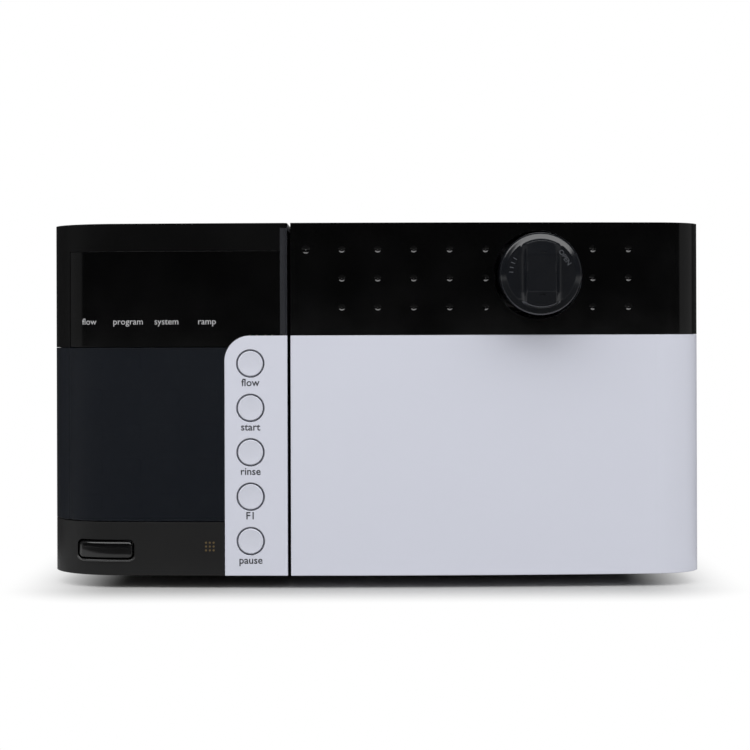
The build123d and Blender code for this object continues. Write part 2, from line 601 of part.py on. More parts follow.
def dimple(x, z, ball_r):
    """Ball that leaves a shallow dimple in the bowed front, its poles clear of the dimple's edge."""
    return Pos(x, front_y(x) + DIMPLE_DEPTH - ball_r, z) * Rot(90, 0, 0) * Sphere(ball_r)


def make_hinge_pins():
    x, y = DOOR_AXIS
    low = rod_z(DOOR_PIN_R, x, y, (BOTTOM_Z + 0.7, RAIL_LOW_Z + RAIL_T))
    high = rod_z(DOOR_PIN_R, x, y, (RAIL_TOP_Z - RAIL_T, TOP_Z - 0.6))
    return low, high


def make_magnet():
    return block(MAGNET_X, MAGNET_Y, MAGNET_Z)


def make_strike_plate():
    """Steel plate on a pad of the door, facing the magnet."""
    pad = block(MAGNET_X, (FRONT_Y, MAGNET_Y[0] - 0.3), (MAGNET_Z[0] - 2, MAGNET_Z[1] + 2))
    return pad & prism_z(plan(WALL + 0.05, RIM_Y), (BOTTOM_Z, TOP_Z))


# ---------------------------------------------------------------- drain valve

def make_knob():
    """Conical knob with a raised grip bar and a skirt behind the door."""
    base_y = front_y(KNOB_X) - 0.6
    cone_l = base_y - KNOB_FACE_Y
    cone = Pos(KNOB_X, base_y - cone_l / 2, KNOB_Z) * Rot(90, 0, 0) * Cone(KNOB_BASE_R, KNOB_FACE_R, cone_l)
    cone = fillet(cone.edges().sort_by(Axis.Y)[0], 1.0)
    knob = cone + rod_y(KNOB_SKIRT_R, KNOB_X, (base_y - 0.01, KNOB_BACK_Y), KNOB_Z)
    bar = Pos(KNOB_X, KNOB_Z) * SlotOverall(GRIP_L, GRIP_W, rotation=90)
    bar = prism_y(bar, (KNOB_FRONT_Y, KNOB_FACE_Y + 0.5))
    bar = fillet(bar.edges().group_by(Axis.Y)[0], 1.2)
    knob += bar
    pointer_x = (KNOB_X + KNOB_FACE_R - 0.6, KNOB_X + KNOB_BASE_R - 0.3)
    knob += block(pointer_x, (base_y - 5, base_y - 1), (KNOB_Z - 1, KNOB_Z + 1))
    knob -= rod_y(STEM_R + SEAT, KNOB_X, (STEM_FRONT_Y, KNOB_BACK_Y + CUT), KNOB_Z)
    return knob


def make_stem():
    return rod_y(STEM_R, KNOB_X, (STEM_FRONT_Y, BLOCK_Y + STEM_IN), KNOB_Z)


def make_drain_block():
    """Steel valve block on the bulkhead, with drain spigot and tapped outlet."""
    side = (KNOB_X - BLOCK_HALF, KNOB_X + BLOCK_HALF)
    body = block(side, (BLOCK_Y, BULKHEAD_Y - SHEET), (KNOB_Z - BLOCK_HALF, KNOB_Z + BLOCK_HALF))
    under_z = KNOB_Z - BLOCK_HALF
    body += rod_z(SPIGOT_R, KNOB_X, BLOCK_Y + 6, (under_z - SPIGOT_L, under_z + 2))
    body -= rod_y(STEM_R + RUN, KNOB_X, (BLOCK_Y - CUT, BLOCK_Y + STEM_IN + 1), KNOB_Z)
    body -= rod_x(2.05, (side[0] - 1, side[0] + 8), BLOCK_Y + 22, KNOB_Z - 5)
    return body


# ---------------------------------------------------------------- case

def make_chassis():
    """Folded floor with side lips and pressed studs for the main board."""
    x = (-HALF_W + 1.6, HALF_W - 1.6)
    y = (RIM_Y + RIM_T + 0.2, REAR_Y)
    floor = block(x, y, (FLOOR_Z, FLOOR_TOP_Z))
    for lip in ((x[0], x[0] + SHEET), (x[1] - SHEET, x[1])):
        floor += block(lip, y, (FLOOR_Z, FLOOR_TOP_Z + LIP_H))
    for fx in (-FOOT_X, FOOT_X):
        for fy in FOOT_Y:
            floor -= rod_z(FOOT_STUD_R + 0.1, fx, fy, (0, 20))
    for sx in (BOARD_X[0] + 6, BOARD_X[1] - 6):
        for sy in (MAIN_BOARD_Y[0] + 8, MAIN_BOARD_Y[1] - 8):
            floor += rod_z(3, sx, sy, (FLOOR_TOP_Z - 0.5, BOARD_Z))
    for side in (-1, 1):
        for sy in SCREW_Y:
            floor -= rod_x(SCREW_R + SEAT, sorted((side * (HALF_W - 4), side * HALF_W)), sy, SCREW_Z)
    for vy in spaced((BULKHEAD_Y + 50, BULKHEAD_Y + 155), 8):
        floor -= block((HALF_W - 64, HALF_W - 20), (vy, vy + 4), (0, FLOOR_TOP_Z + CUT))
    return floor


def make_top_cover():
    """Sheet cover folded over the top and both sides, slotted towards the rear."""
    y = (COVER_FRONT_Y, REAR_Y - 0.2)
    outer = block((-COVER_HALF_W, COVER_HALF_W), y, (FLOOR_Z, COVER_TOP_Z))
    top_edges = outer.edges().filter_by(Axis.Y).group_by(Axis.Z)[-1]
    outer = fillet(top_edges, 2.0)
    inner_w = COVER_HALF_W - COVER_T
    inner = block((-inner_w, inner_w), (y[0] - 1, y[1] + 1), (FLOOR_Z - 1, COVER_TOP_Z - COVER_T))
    inner_edges = inner.edges().filter_by(Axis.Y).group_by(Axis.Z)[-1]
    cover = outer - fillet(inner_edges, 1.0)
    for i in range(SLOT_COUNT):
        sy = SLOT_Y + SLOT_PITCH * i
        for x in (-HALF_W - 1, HALF_W - 6):
            cover -= block((x, x + 7), (sy, sy + SLOT_W), SLOT_Z)
    for x in (-HALF_W - 1, HALF_W - 6):
        for sy in SCREW_Y:
            cover -= rod_x(SCREW_R + 0.3, (x, x + 7), sy, SCREW_Z)
    return cover


def make_case_screws():
    """Pan-head screws that hold the cover to the chassis lips."""
    screws = []
    for side in (-1, 1):
        for sy in SCREW_Y:
            lip_x = side * (HALF_W - 1.6 - SHEET)
            tip_x = side * COVER_HALF_W
            shank = rod_x(SCREW_R, sorted((lip_x, tip_x)), sy, SCREW_Z)
            head = rod_x(SCREW_HEAD_R, sorted((tip_x, tip_x + side * (HALF_W - COVER_HALF_W))), sy, SCREW_Z)
            screws.append(shank + head)
    return screws


def make_rear_panel():
    """Rear plate with its fan grille and connector cut-outs."""
    y = (REAR_Y - SHEET, REAR_Y)
    panel = block((-HALF_W + 3, HALF_W - 3), y, (FLOOR_TOP_Z, COVER_TOP_Z - COVER_T - 0.1))
    slot_pitch = 6.4
    for i in range(-5, 6):
        half = sqrt((FAN_BORE_R - 3) ** 2 - (i * slot_pitch) ** 2)
        z = FAN_Z + i * slot_pitch
        for side in ((-half, -1.2), (1.2, half)):
            if side[1] - side[0] > 4:
                panel -= block((FAN_X + side[0], FAN_X + side[1]), (y[0] - 1, y[1] + 1), (z - 1.9, z + 1.9))
    cut_y = (y[0] - CUT, y[1] + CUT)
    half_w, half_h = INLET_HALF
    panel -= block((INLET_X - half_w, INLET_X + half_w), cut_y, (INLET_Z - half_h, INLET_Z + half_h))
    socket_z = (CONNECTOR_Z - CONNECTOR_HALF_H, CONNECTOR_Z + CONNECTOR_HALF_H)
    for cx, cw in CONNECTORS:
        panel -= block((cx - cw / 2, cx + cw / 2), cut_y, socket_z)
    return panel


def make_power_inlet():
    """Mains appliance inlet with its socket and three blades."""
    half_w = INLET_HALF[0] - 0.2
    half_h = INLET_HALF[1] - 0.2
    front = REAR_Y + SOCKET_PROUD
    body_z = (INLET_Z - half_h, INLET_Z + half_h)
    body = block((INLET_X - half_w, INLET_X + half_w), (REAR_Y - 22, front), body_z)
    body -= block((INLET_X - 12, INLET_X + 12), (REAR_Y - 15, front + CUT), (INLET_Z - 8, INLET_Z + 8))
    for bx in (INLET_X - 7, INLET_X, INLET_X + 7):
        body += block((bx - 1, bx + 1), (REAR_Y - 16, REAR_Y - 1), (INLET_Z - 2, INLET_Z + 2))
    return body


def make_rear_connectors():
    """Signal sockets, each with a shallow recess."""
    sockets = []
    for cx, cw in CONNECTORS:
        half = cw / 2 - 0.2
        half_h = CONNECTOR_HALF_H - 0.2
        front = REAR_Y + SOCKET_PROUD
        z = CONNECTOR_Z
        body = block((cx - half, cx + half), (REAR_Y - 14, front), (z - half_h, z + half_h))
        body -= block((cx - half + 1.8, cx + half - 1.8), (REAR_Y - 6, front + CUT), (z - 4, z + 4))
        sockets.append(body)
    return sockets


def make_fan_frame():
    """Square fan frame with a hub on three struts."""
    y = (REAR_Y - SHEET - FAN_T, REAR_Y - SHEET)
    half = FAN_SIDE / 2
    frame = block((FAN_X - half, FAN_X + half), y, (FAN_Z - half, FAN_Z + half))
    frame -= rod_y(FAN_BORE_R, FAN_X, (y[0] - 1, y[1] + 1), FAN_Z)
    hub = rod_y(13, FAN_X, (y[1] - 6, y[1]), FAN_Z)
    for angle in (90, 210, 330):
        strut = block((8, FAN_BORE_R + 1), (y[1] - 4, y[1]), (-2.5, 2.5))
        hub += Pos(FAN_X, 0, FAN_Z) * Rot(0, angle, 0) * strut
    hub -= rod_y(FAN_AXLE_R + RUN, FAN_X, (y[0], y[1] - 1), FAN_Z)
    return frame + hub


def make_fan_rotor():
    """Hub with its pitched blades and its axle."""
    y = (REAR_Y - SHEET - FAN_T + 1, REAR_Y - SHEET - 7)
    rotor = rod_y(FAN_HUB_R, FAN_X, y, FAN_Z)
    mid_y = (y[0] + y[1]) / 2
    for i in range(FAN_BLADES):
        blade = Pos(24, mid_y, 0) * Rot(40, 0, 0) * Box(23, 1.6, 20)
        rotor += Pos(FAN_X, 0, FAN_Z) * Rot(0, 360 / FAN_BLADES * i, 0) * blade
    rotor = rotor & rod_y(FAN_BORE_R - 1, FAN_X, y, FAN_Z)
    return rotor + rod_y(FAN_AXLE_R, FAN_X, (y[1] - 1, y[1] + 5), FAN_Z)


def make_feet():
    feet = []
    for fx in (-FOOT_X, FOOT_X):
        for fy in FOOT_Y:
            pad = Pos(fx, fy, FLOOR_Z / 2) * Cone(FOOT_R - 1.5, FOOT_R, FLOOR_Z)
            feet.append(pad + rod_z(FOOT_STUD_R, fx, fy, (FLOOR_Z - 0.5, FLOOR_TOP_Z + 1.5)))
    return feet


# ---------------------------------------------------------------- pump bay

def make_bulkhead():
    """Plate behind the pump bay, bored for the plungers and tapped for the heads."""
    plate = block((GAP_X - 3, BAY_RIGHT_X), (BULKHEAD_Y - SHEET, BULKHEAD_Y), (FLOOR_TOP_Z, RAIL_TOP_Z))
    cut_y = (BAY_Y - CUT, BULKHEAD_Y + CUT)
    cut_x = (GAP_X - 5, BAY_RIGHT_X + 1)
    plate -= block(cut_x, cut_y, (FLOOR_TOP_Z - 1, RAIL_LOW_Z + RAIL_T + 0.01))
    plate -= block(cut_x, cut_y, (RAIL_TOP_Z - RAIL_T - 0.01, RAIL_TOP_Z + 1))
    plate -= block((GAP_X - 5, GAP_X - 1.99), cut_y, (0, TOP_Z))
    plate -= block((BAY_RIGHT_X - 2.01, BAY_RIGHT_X + 1), cut_y, (0, TOP_Z))
    for x in PUMP_X.values():
        plate -= rod_y(PLUNGER_HOLE_R + 1, x, cut_y, PUMP_Z)
    return plate


def make_head_holder(x):
    holder = rod_y(HOLDER_R, x, (HEAD_BACK_Y, BAY_Y), PUMP_Z)
    return holder - rod_y(PLUNGER_HOLE_R, x, (HEAD_BACK_Y - CUT, BAY_Y + CUT), PUMP_Z)


def make_pump_head(x):
    """Steel head, bored for its plunger and pocketed for two valves."""
    half_h = HEAD_H / 2
    head_z = (PUMP_Z - half_h, PUMP_Z + half_h)
    head = block((x - HEAD_W / 2, x + HEAD_W / 2), (HEAD_FRONT_Y, HEAD_BACK_Y), head_z)
    head = chamfer(head.edges().filter_by(Axis.Y), 2.0)
    head -= rod_y(PLUNGER_R + RUN, x, (HEAD_FRONT_Y + 6, HEAD_BACK_Y + 1), PUMP_Z)
    for z in (PUMP_Z - half_h, PUMP_Z + half_h):
        head -= rod_z(VALVE_PLUG_R + SEAT, x, VALVE_Y, (z - 5, z + 5))
    return head


def make_valve(x, side):
    """Check-valve cartridge below (side -1) or above (side 1) a head, bored for its tube."""
    face = PUMP_Z + side * HEAD_H / 2
    end = face + side * VALVE_L
    valve = rod_z(VALVE_R, x, VALVE_Y, sorted((face, end)))
    valve += rod_z(VALVE_PLUG_R, x, VALVE_Y, sorted((face - side * 4.8, face + side)))
    return valve - rod_z(TUBE_R + 0.01, x, VALVE_Y, sorted((end - side * TUBE_SEAT, end + side)))


def make_thumb_nuts():
    nuts = []
    for x in PUMP_X.values():
        for dx in (-8.5, 8.5):
            nuts.append(rod_y(4.2, x + dx, (HEAD_FRONT_Y - 8, HEAD_FRONT_Y), PUMP_Z))
    return nuts


def tube(points, radius, bend):
    """Round tube along straight runs joined by arcs."""
    path = FilletPolyline(*points, radius=bend)
    start = path.position_at(0)
    section = Plane(origin=start, z_dir=path.tangent_at(0)) * Circle(radius)
    return sweep(section, path=path)


def make_outlet_tubing():
    """Steel tubes from the outlet valves to the sensor and on to the drain valve."""
    start = PUMP_Z + HEAD_H / 2 + VALVE_L - TUBE_SEAT
    y = VALVE_Y
    runs = []
    for side, z, sensor_x in (("left", TUBE_HIGH_Z, FILTER_X + 7), ("right", TUBE_LOW_Z, FILTER_X - 7)):
        x = PUMP_X[side]
        corners = [(x, y, start), (x, y, z), (sensor_x, y, z), (sensor_x, y, SENSOR_Z[1])]
        runs.append(tube(corners, TUBE_R, TUBE_BEND))
    drain_z = KNOB_Z - 3.4
    bend = (FILTER_X, FILTER_Y, drain_z)
    corners = [(FILTER_X, FILTER_Y, FILTER_TOP_Z), bend, (KNOB_X + BLOCK_HALF, FILTER_Y, drain_z)]
    return *runs, tube(corners, TUBE_R, TUBE_BEND)


def make_line_filter():
    body = rod_z(FILTER_R, FILTER_X, FILTER_Y, (SENSOR_Z[1], FILTER_TOP_Z))
    return body + rod_z(FILTER_R + 1.5, FILTER_X, FILTER_Y, (FILTER_TOP_Z - 9, FILTER_TOP_Z - 2))


def make_pressure_sensor():
    body = block(SENSOR_X, SENSOR_Y, SENSOR_Z)
    body = chamfer(body.edges().filter_by(Axis.Y), 2.0)
    return body + rod_y(9, FILTER_X, (SENSOR_Y[0] - 12, SENSOR_Y[0] + 0.1), SENSOR_Z[0] + 12)


def make_inlet_tubing():
    """Plastic U tube between the inlet valves, with a tee in its middle."""
    end = PUMP_Z - HEAD_H / 2 - VALVE_L + TUBE_SEAT
    left, right = PUMP_X.values()
    y = VALVE_Y
    low = INLET_TUBE_Z
    run = tube([(left, y, end), (left, y, low), (right, y, low), (right, y, end)], TUBE_R, TUBE_BEND)
    middle = (left + right) / 2
    return run + rod_x(TEE_R, (middle - 6, middle + 6), y, low)


def make_leak_tray():
    tray = block(TRAY_X, TRAY_Y, TRAY_Z)
    inside_x = (TRAY_X[0] + TRAY_T, TRAY_X[1] - TRAY_T)
    inside_y = (TRAY_Y[0] + TRAY_T, TRAY_Y[1] - TRAY_T)
    return tray - block(inside_x, inside_y, (TRAY_Z[0] + TRAY_T, TRAY_Z[1] + CUT))


def make_leak_sensor():
    y = (TRAY_Y[1] - 18, TRAY_Y[1] - 6)
    return block((TRAY_X[1] - 18, TRAY_X[1] - 8), y, (TRAY_Z[0] + TRAY_T, TRAY_Z[0] + 10))


# ---------------------------------------------------------------- drive

def cam_outline(side):
    """Heart shape whose radius changes evenly with angle, so that lift follows rotation."""
    rate = STROKE / pi
    base = PITCH_MIN - ROLLER_R - CAM_GAP
    steps = 12
    upper = []
    for i in range(steps + 1):
        angle = pi * i / steps
        lift = rate * angle if side == "right" else rate * (pi - angle)
        upper.append(((base + lift) * cos(angle), (base + lift) * sin(angle)))
    lower = [(y, -z) for y, z in upper]
    return make_face(Spline(*upper) + Spline(*lower))


def crosshead_shift(side):
    """How far a crosshead stands forward at rest."""
    return 0.0 if side == "left" else STROKE


def make_camshaft():
    """Shaft ground in one piece with its two cams."""
    shaft = rod_x(SHAFT_R - RUN, (HOUSING_X[0] + 1, BELT_X[1] + 3), CAM_Y, PUMP_Z)
    for side, x in PUMP_X.items():
        cam = prism_x(cam_outline(side), (x - CAM_W / 2, x + CAM_W / 2))
        shaft += Pos(0, CAM_Y, PUMP_Z) * cam
    return shaft


def make_bearings():
    """Two bearings of the camshaft in the housing's end walls."""
    rings = []
    for x in ((HOUSING_X[0], HOUSING_X[0] + HOUSING_WALL), (HOUSING_X[1] - HOUSING_WALL, HOUSING_X[1])):
        ring = rod_x(BEARING_R, x, CAM_Y, PUMP_Z)
        rings.append(ring - rod_x(SHAFT_R, (x[0] - 1, x[1] + 1), CAM_Y, PUMP_Z))
    return rings


def make_housing():
    """Cast cam housing on two legs, with crosshead guides and the motor plate."""
    body = block(HOUSING_X, HOUSING_Y, HOUSING_Z)
    inner_x = (HOUSING_X[0] + HOUSING_WALL, HOUSING_X[1] - HOUSING_WALL)
    inner_z = (HOUSING_Z[0] + HOUSING_SKIN, HOUSING_Z[1] - HOUSING_SKIN)
    body -= block(inner_x, (GUIDE_END_Y, HOUSING_Y[1] - HOUSING_SKIN), inner_z)
    half = MOTOR_SIDE / 2
    plate_y = (HOUSING_Y[1] - HOUSING_SKIN, MOTOR_Y + half)
    body += block((MOTOR_X[1], HOUSING_X[1]), plate_y, (PUMP_Z - half, PUMP_Z + half))
    for y in LEG_Y:
        body += block(HOUSING_X, y, (FLOOR_TOP_Z, HOUSING_Z[0]))
    spring_seat_y = HOUSING_Y[0] + HOUSING_FRONT
    for x in PUMP_X.values():
        body -= rod_y(CROSS_R + RUN, x, (spring_seat_y, GUIDE_END_Y + CUT), PUMP_Z)
        body -= rod_y(PLUNGER_HOLE_R, x, (HOUSING_Y[0] - CUT, spring_seat_y + CUT), PUMP_Z)
    through_x = (HOUSING_X[0] - CUT, HOUSING_X[1] + CUT)
    body -= rod_x(BEARING_R + SEAT, through_x, CAM_Y, PUMP_Z)
    body -= rod_x(7, (MOTOR_X[1] - CUT, HOUSING_X[1] + CUT), MOTOR_Y, PUMP_Z)
    return body


def make_crosshead(side):
    """Guided piston with a fork and pin for its roller."""
    x = PUMP_X[side]
    shift = crosshead_shift(side)
    face = CROSS_FACE_Y - shift
    centre = CAM_Y - PITCH_MIN - shift
    body = rod_y(CROSS_R, x, (face, centre - ROLLER_R - 1), PUMP_Z)
    fork = rod_y(CROSS_R, x, (face, centre + 3), PUMP_Z)
    all_y = (face - CUT, CAM_Y)
    all_z = (PUMP_Z - CROSS_R - CUT, PUMP_Z + CROSS_R + CUT)
    slot_half = ROLLER_W / 2 + 0.3
    fork = fork & block((x - 8, x + 8), all_y, all_z)
    body += fork - block((x - slot_half, x + slot_half), all_y, all_z)
    body += rod_x(ROLLER_PIN_R, (x - 7, x + 7), centre, PUMP_Z)
    return body - rod_y(PLUNGER_R + SEAT, x, (face - CUT, face + PLUNGER_IN), PUMP_Z)


def make_plunger(side):
    face = CROSS_FACE_Y - crosshead_shift(side)
    return rod_y(PLUNGER_R, PUMP_X[side], (face - PLUNGER_L, face + PLUNGER_IN), PUMP_Z)


def make_roller(side):
    centre = CAM_Y - PITCH_MIN - crosshead_shift(side)
    x = PUMP_X[side]
    half = ROLLER_W / 2
    roller = rod_x(ROLLER_R, (x - half, x + half), centre, PUMP_Z)
    return roller - rod_x(ROLLER_PIN_R + RUN, (x - half - CUT, x + half + CUT), centre, PUMP_Z)


def make_spring(side):
    """Return spring between the housing and the crosshead, with four turns."""
    start = HOUSING_Y[0] + HOUSING_FRONT
    face = CROSS_FACE_Y - crosshead_shift(side)
    clear = WIRE_R + 0.1
    height = face - start - 2 * clear
    coil = Pos(PUMP_X[side], face - clear, PUMP_Z) * Rot(90, 0, 0) * Helix(height / 4, height, SPRING_R)
    section = Plane(origin=coil.position_at(0), z_dir=coil.tangent_at(0)) * Circle(WIRE_R)
    return sweep(section, path=coil)


def pulley(r, y):
    """Flanged belt pulley on an axis along X."""
    body = rod_x(r, (BELT_X[0] - 0.6, BELT_X[1] + 0.6), y, PUMP_Z)
    body += rod_x(r + FLANGE, (BELT_X[0] - 1.6, BELT_X[0] - 0.5), y, PUMP_Z)
    return body + rod_x(r + FLANGE, (BELT_X[1] + 0.5, BELT_X[1] + 1.6), y, PUMP_Z)


def belt_loop(grow):
    """Area inside a loop round both pulleys, in Y and Z."""
    big = circle_at(CAM_Y, PUMP_Z, DRIVEN_R + grow)
    small = circle_at(MOTOR_Y, PUMP_Z, DRIVE_R + grow)
    return make_hull(big.edges() + small.edges())


def make_belt():
    return prism_x(belt_loop(BELT_T + 0.3) - belt_loop(0.3), BELT_X)


def make_motor():
    half = MOTOR_SIDE / 2
    body = block(MOTOR_X, (MOTOR_Y - half, MOTOR_Y + half), (PUMP_Z - half, PUMP_Z + half))
    body = chamfer(body.edges().filter_by(Axis.X), 5.0)
    body += rod_x(6.9, (MOTOR_X[1] - 0.1, MOTOR_X[1] + 1.6), MOTOR_Y, PUMP_Z)
    return body - rod_x(MOTOR_SHAFT_R + RUN, (MOTOR_X[0] + 30, MOTOR_X[1] + 2), MOTOR_Y, PUMP_Z)


def make_motor_shaft():
    return rod_x(MOTOR_SHAFT_R, (MOTOR_X[0] + 31, BELT_X[1] + 2), MOTOR_Y, PUMP_Z)


# ---------------------------------------------------------------- electronics

def make_main_board():
    """Main circuit board on its studs, with its larger components soldered on."""
    left = BOARD_X[0]
    front = MAIN_BOARD_Y[0]
    board = block(BOARD_X, MAIN_BOARD_Y, (BOARD_Z, BOARD_Z + PCB_T))
    top = BOARD_Z + PCB_T - 0.1
    for x, y, w, d, h in CHIPS + COILS:
        across = (left + x - w / 2, left + x + w / 2)
        board += block(across, (front + y - d / 2, front + y + d / 2), (top, top + h))
    for y in CAPACITORS_Y:
        board += rod_z(CAPACITOR_R, left + 2 * CAPACITOR_R, front + y, (top, top + CAPACITOR_H))
    return board


def make_power_supply():
    """Screened mains supply, with vent slots in its lid."""
    body = block(SUPPLY_X, SUPPLY_Y, (FLOOR_TOP_Z, SUPPLY_TOP_Z))
    for y in spaced(VENT_Y, VENT_COUNT):
        body -= block(VENT_X, (y, y + VENT_W), (SUPPLY_TOP_Z - VENT_DEPTH, SUPPLY_TOP_Z + CUT))
    return body


def make_display_module():
    """Display board and glass behind the window."""
    glass_y = (DECK_Y - 5.6, DECK_Y - 2.5)
    back_y = (glass_y[1] - 0.1, BOARD_Y)
    module = []
    for grow, y in ((1.5, glass_y), (3.0, back_y)):
        x = (DISPLAY_X[0] - grow, DISPLAY_X[1] + grow)
        module.append(block(x, y, (DISPLAY_Z[0] - grow, DISPLAY_Z[1] + grow)))
    return module[0] + module[1]


save("base_chassis", make_chassis())
save("top_cover", make_top_cover())
save("case_screws", *make_case_screws())
save("rear_panel", make_rear_panel())
save("rubber_feet", *make_feet())
save("front_frame", make_front_frame())
save("display_window", make_display_window())
save("display_module", make_display_module())
save("front_circuit_board", make_front_board())
save("button_strip", make_button_strip())
for label, height in zip(BUTTON_NAMES, button_places()):
    save(f"button_{label}", make_button(height))
save("power_button", make_power_button())
save("power_switch_body", make_power_switch_body())
save("keypad_membrane", make_keypad())
save("keypad_cover", make_keypad_cover())
save("door_panel", make_door_panel())
save("door_band", make_door_band())
save("door_hinge_pins", *make_hinge_pins())
save("door_magnet", make_magnet())
save("door_strike_plate", make_strike_plate())
save("drain_knob", make_knob())
save("drain_valve_stem", make_stem())
save("drain_valve_block", make_drain_block())
save("front_bulkhead", make_bulkhead())
save("head_holders", *[make_head_holder(x) for x in PUMP_X.values()])
save("pump_heads", *[make_pump_head(x) for x in PUMP_X.values()])
save("head_thumb_nuts", *make_thumb_nuts())
save("check_valves", *[make_valve(x, side) for x in PUMP_X.values() for side in (-1, 1)])
save("pressure_sensor", make_pressure_sensor())
save("line_filter", make_line_filter())
save("outlet_tubing", *make_outlet_tubing())
save("inlet_tubing", make_inlet_tubing())
save("leak_tray", make_leak_tray())
save("leak_sensor", make_leak_sensor())
save("camshaft", make_camshaft())
save("camshaft_bearings", *make_bearings())
save("cam_housing", make_housing())
for side_name in PUMP_X:
    save(f"crosshead_{side_name}", make_crosshead(side_name))
    save(f"plunger_{side_name}", make_plunger(side_name))
    save(f"roller_{side_name}", make_roller(side_name))
    save(f"return_spring_{side_name}", make_spring(side_name))
save("driven_pulley", pulley(DRIVEN_R, CAM_Y) - rod_x(SHAFT_R, HOLE_X, CAM_Y, PUMP_Z))
save("drive_pulley", pulley(DRIVE_R, MOTOR_Y) - rod_x(MOTOR_SHAFT_R + SEAT, HOLE_X, MOTOR_Y, PUMP_Z))
save("timing_belt", make_belt())
save("stepper_motor", make_motor())
save("motor_shaft", make_motor_shaft())
save("main_board", make_main_board())
save("power_supply", make_power_supply())
save("fan_frame", make_fan_frame())
save("fan_rotor", make_fan_rotor())
save("power_inlet", make_power_inlet())
save("rear_connectors", *make_rear_connectors())
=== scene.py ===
"""Finish, small details, light and camera for the solvent delivery pump of a liquid chromatograph.

The front looks towards -Y, +Z is up, and the object stands on z = 0. Sizes here are in millimetres,
as in the CAD source, and mm() turns them into Blender's metres.
"""

from math import cos, pi, radians, sin, sqrt

import bmesh
import bpy
from mathutils import Matrix, Vector

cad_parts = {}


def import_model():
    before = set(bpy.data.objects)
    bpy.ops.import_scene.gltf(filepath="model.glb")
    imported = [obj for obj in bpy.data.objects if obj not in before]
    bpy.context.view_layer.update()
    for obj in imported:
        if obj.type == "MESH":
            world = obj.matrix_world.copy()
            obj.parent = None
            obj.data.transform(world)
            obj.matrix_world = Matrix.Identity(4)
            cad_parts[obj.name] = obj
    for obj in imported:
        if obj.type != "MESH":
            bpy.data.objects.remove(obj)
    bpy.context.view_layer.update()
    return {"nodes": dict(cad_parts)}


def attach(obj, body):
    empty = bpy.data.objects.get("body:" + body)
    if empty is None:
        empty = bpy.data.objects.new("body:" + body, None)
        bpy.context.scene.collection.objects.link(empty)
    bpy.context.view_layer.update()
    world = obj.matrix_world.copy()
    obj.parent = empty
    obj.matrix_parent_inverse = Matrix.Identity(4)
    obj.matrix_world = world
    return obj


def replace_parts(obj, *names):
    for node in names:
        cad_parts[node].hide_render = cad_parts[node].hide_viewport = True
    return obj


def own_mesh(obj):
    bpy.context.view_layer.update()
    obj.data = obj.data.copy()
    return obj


# Front unit, as in the CAD source
HALF_W = 130.0
FRONT_Y = -194.0
BOW_R = 1400.0
CORNER_L = 30.0
CORNER_R = 20.0

# Control panel
BUTTON_X = -49.2
BUTTON_ROWS = [88.6, 71.1, 53.6, 36.1, 18.6]
BUTTON_WORDS = ["flow", "start", "rinse", "F1", "pause"]
WORD_DROP = 7.6          # from a button's centre to the middle of its word
LAMP_WORDS = [("flow", -113.4), ("program", -97.6), ("system", -82.3), ("ramp", -66.3)]
LAMP_Z = 105.2
KEY_COLUMNS = [-114.0, -98.57, -83.13, -67.7]
KEY_ROWS = [89.0, 75.0, 61.0, 47.0, 33.0]
KEY_FRONT_Y = -179.2
KEY_MARKS = ["7", "8", "9", "+", "4", "5", "6", "-", "1", "2", "3", "=", ".", "0", "C", "E", "<", ">"]
KEY_MARKS += ["F2", "F3"]
DOTS_X = -66.9
DOTS_Z = 15.0
DOTS_PITCH = 1.5
DOTS_SIDE = 3            # dots along each side of the square
DOT_R = 0.42
PRINT_LIFT = 0.04        # of a print over the surface that carries it
KEY_PRINT_LIFT = 0.03

# Drain knob
KNOB_X = 64.5
KNOB_Z = 123.4
KNOB_BASE_R = 16.1
KNOB_FACE_R = 14.0
KNOB_FACE_Y = -206.6
KNOB_FRONT_Y = -209.95
KNOB_BACK_Y = -176.0
KNOB_SKIRT_R = 15.4
GRIP_TOP = 5.6           # half width of the grip's flat top
GRIP_FOOT = 8.6          # half width where its flanks meet the face
GRIP_FLAT = 7.2          # half length of its level middle
GRIP_FALL = 0.45         # share of its height lost at the sloping ends
GRIP_HOLLOW = 1.7        # power that hollows its flanks
GRIP_BLEND = 0.6         # over which the grip runs out at the face's rim
DASH_Z = 8.1             # from the knob's axis to the dashes at the grip's ends
TICK_R = 11.6            # from the knob's axis to the middle of its ticks

# Power button
POWER_X = -107.0
POWER_Z = 15.1
POWER_W = 22.0
POWER_H = 6.7
POWER_CORNER = 1.8
POWER_PROUD = 0.9
POWER_DEPTH = 8.0        # of its sides behind the front
POWER_ROLL = 1.3         # radius of its rolled edge
POWER_CROWN = 0.12
CROWN_STEPS = 6          # strips across its face
LIP_SINK = 1.2           # by which the lip under the button falls away round its upper half

# Header's rounded edge beside the door, whose lighter colour is a painted highlight
EDGE_X = -34.6
EDGE_R = 2.3
EDGE_LAP = 0.5           # of the painted highlight onto the header's face
EDGE_LIFT = 0.03
EDGE_TURN = 80           # degrees round the edge that the painted highlight reaches
EDGE_ROWS = (99.9, 110, 120, 130, 138, 142)

# Case screws, rear panel, fan, mains inlet and sockets
CASE_SCREW_X = 129.6
CASE_SCREW_YS = (-110, 30, 180)
CASE_SCREW_Z = 14
CASE_SCREW_R = 2.9
REAR_Y = 208.5
REAR_SCREW_XS = (-121, 0, 121)
REAR_SCREW_ZS = (15, 135)
REAR_SCREW_R = 2.6
FAN_X = 62
FAN_Z = 84
FAN_SCREW_OFF = 35.75    # from the fan's centre, across and up
INLET_SCREWS = [(-116, 36), (-76, 36)]
POST_XS = (-117.4, -78.6, -73.4, -42.6, -35.4, -12.6)
POST_Z = 104
POST_CORNER = 2.4

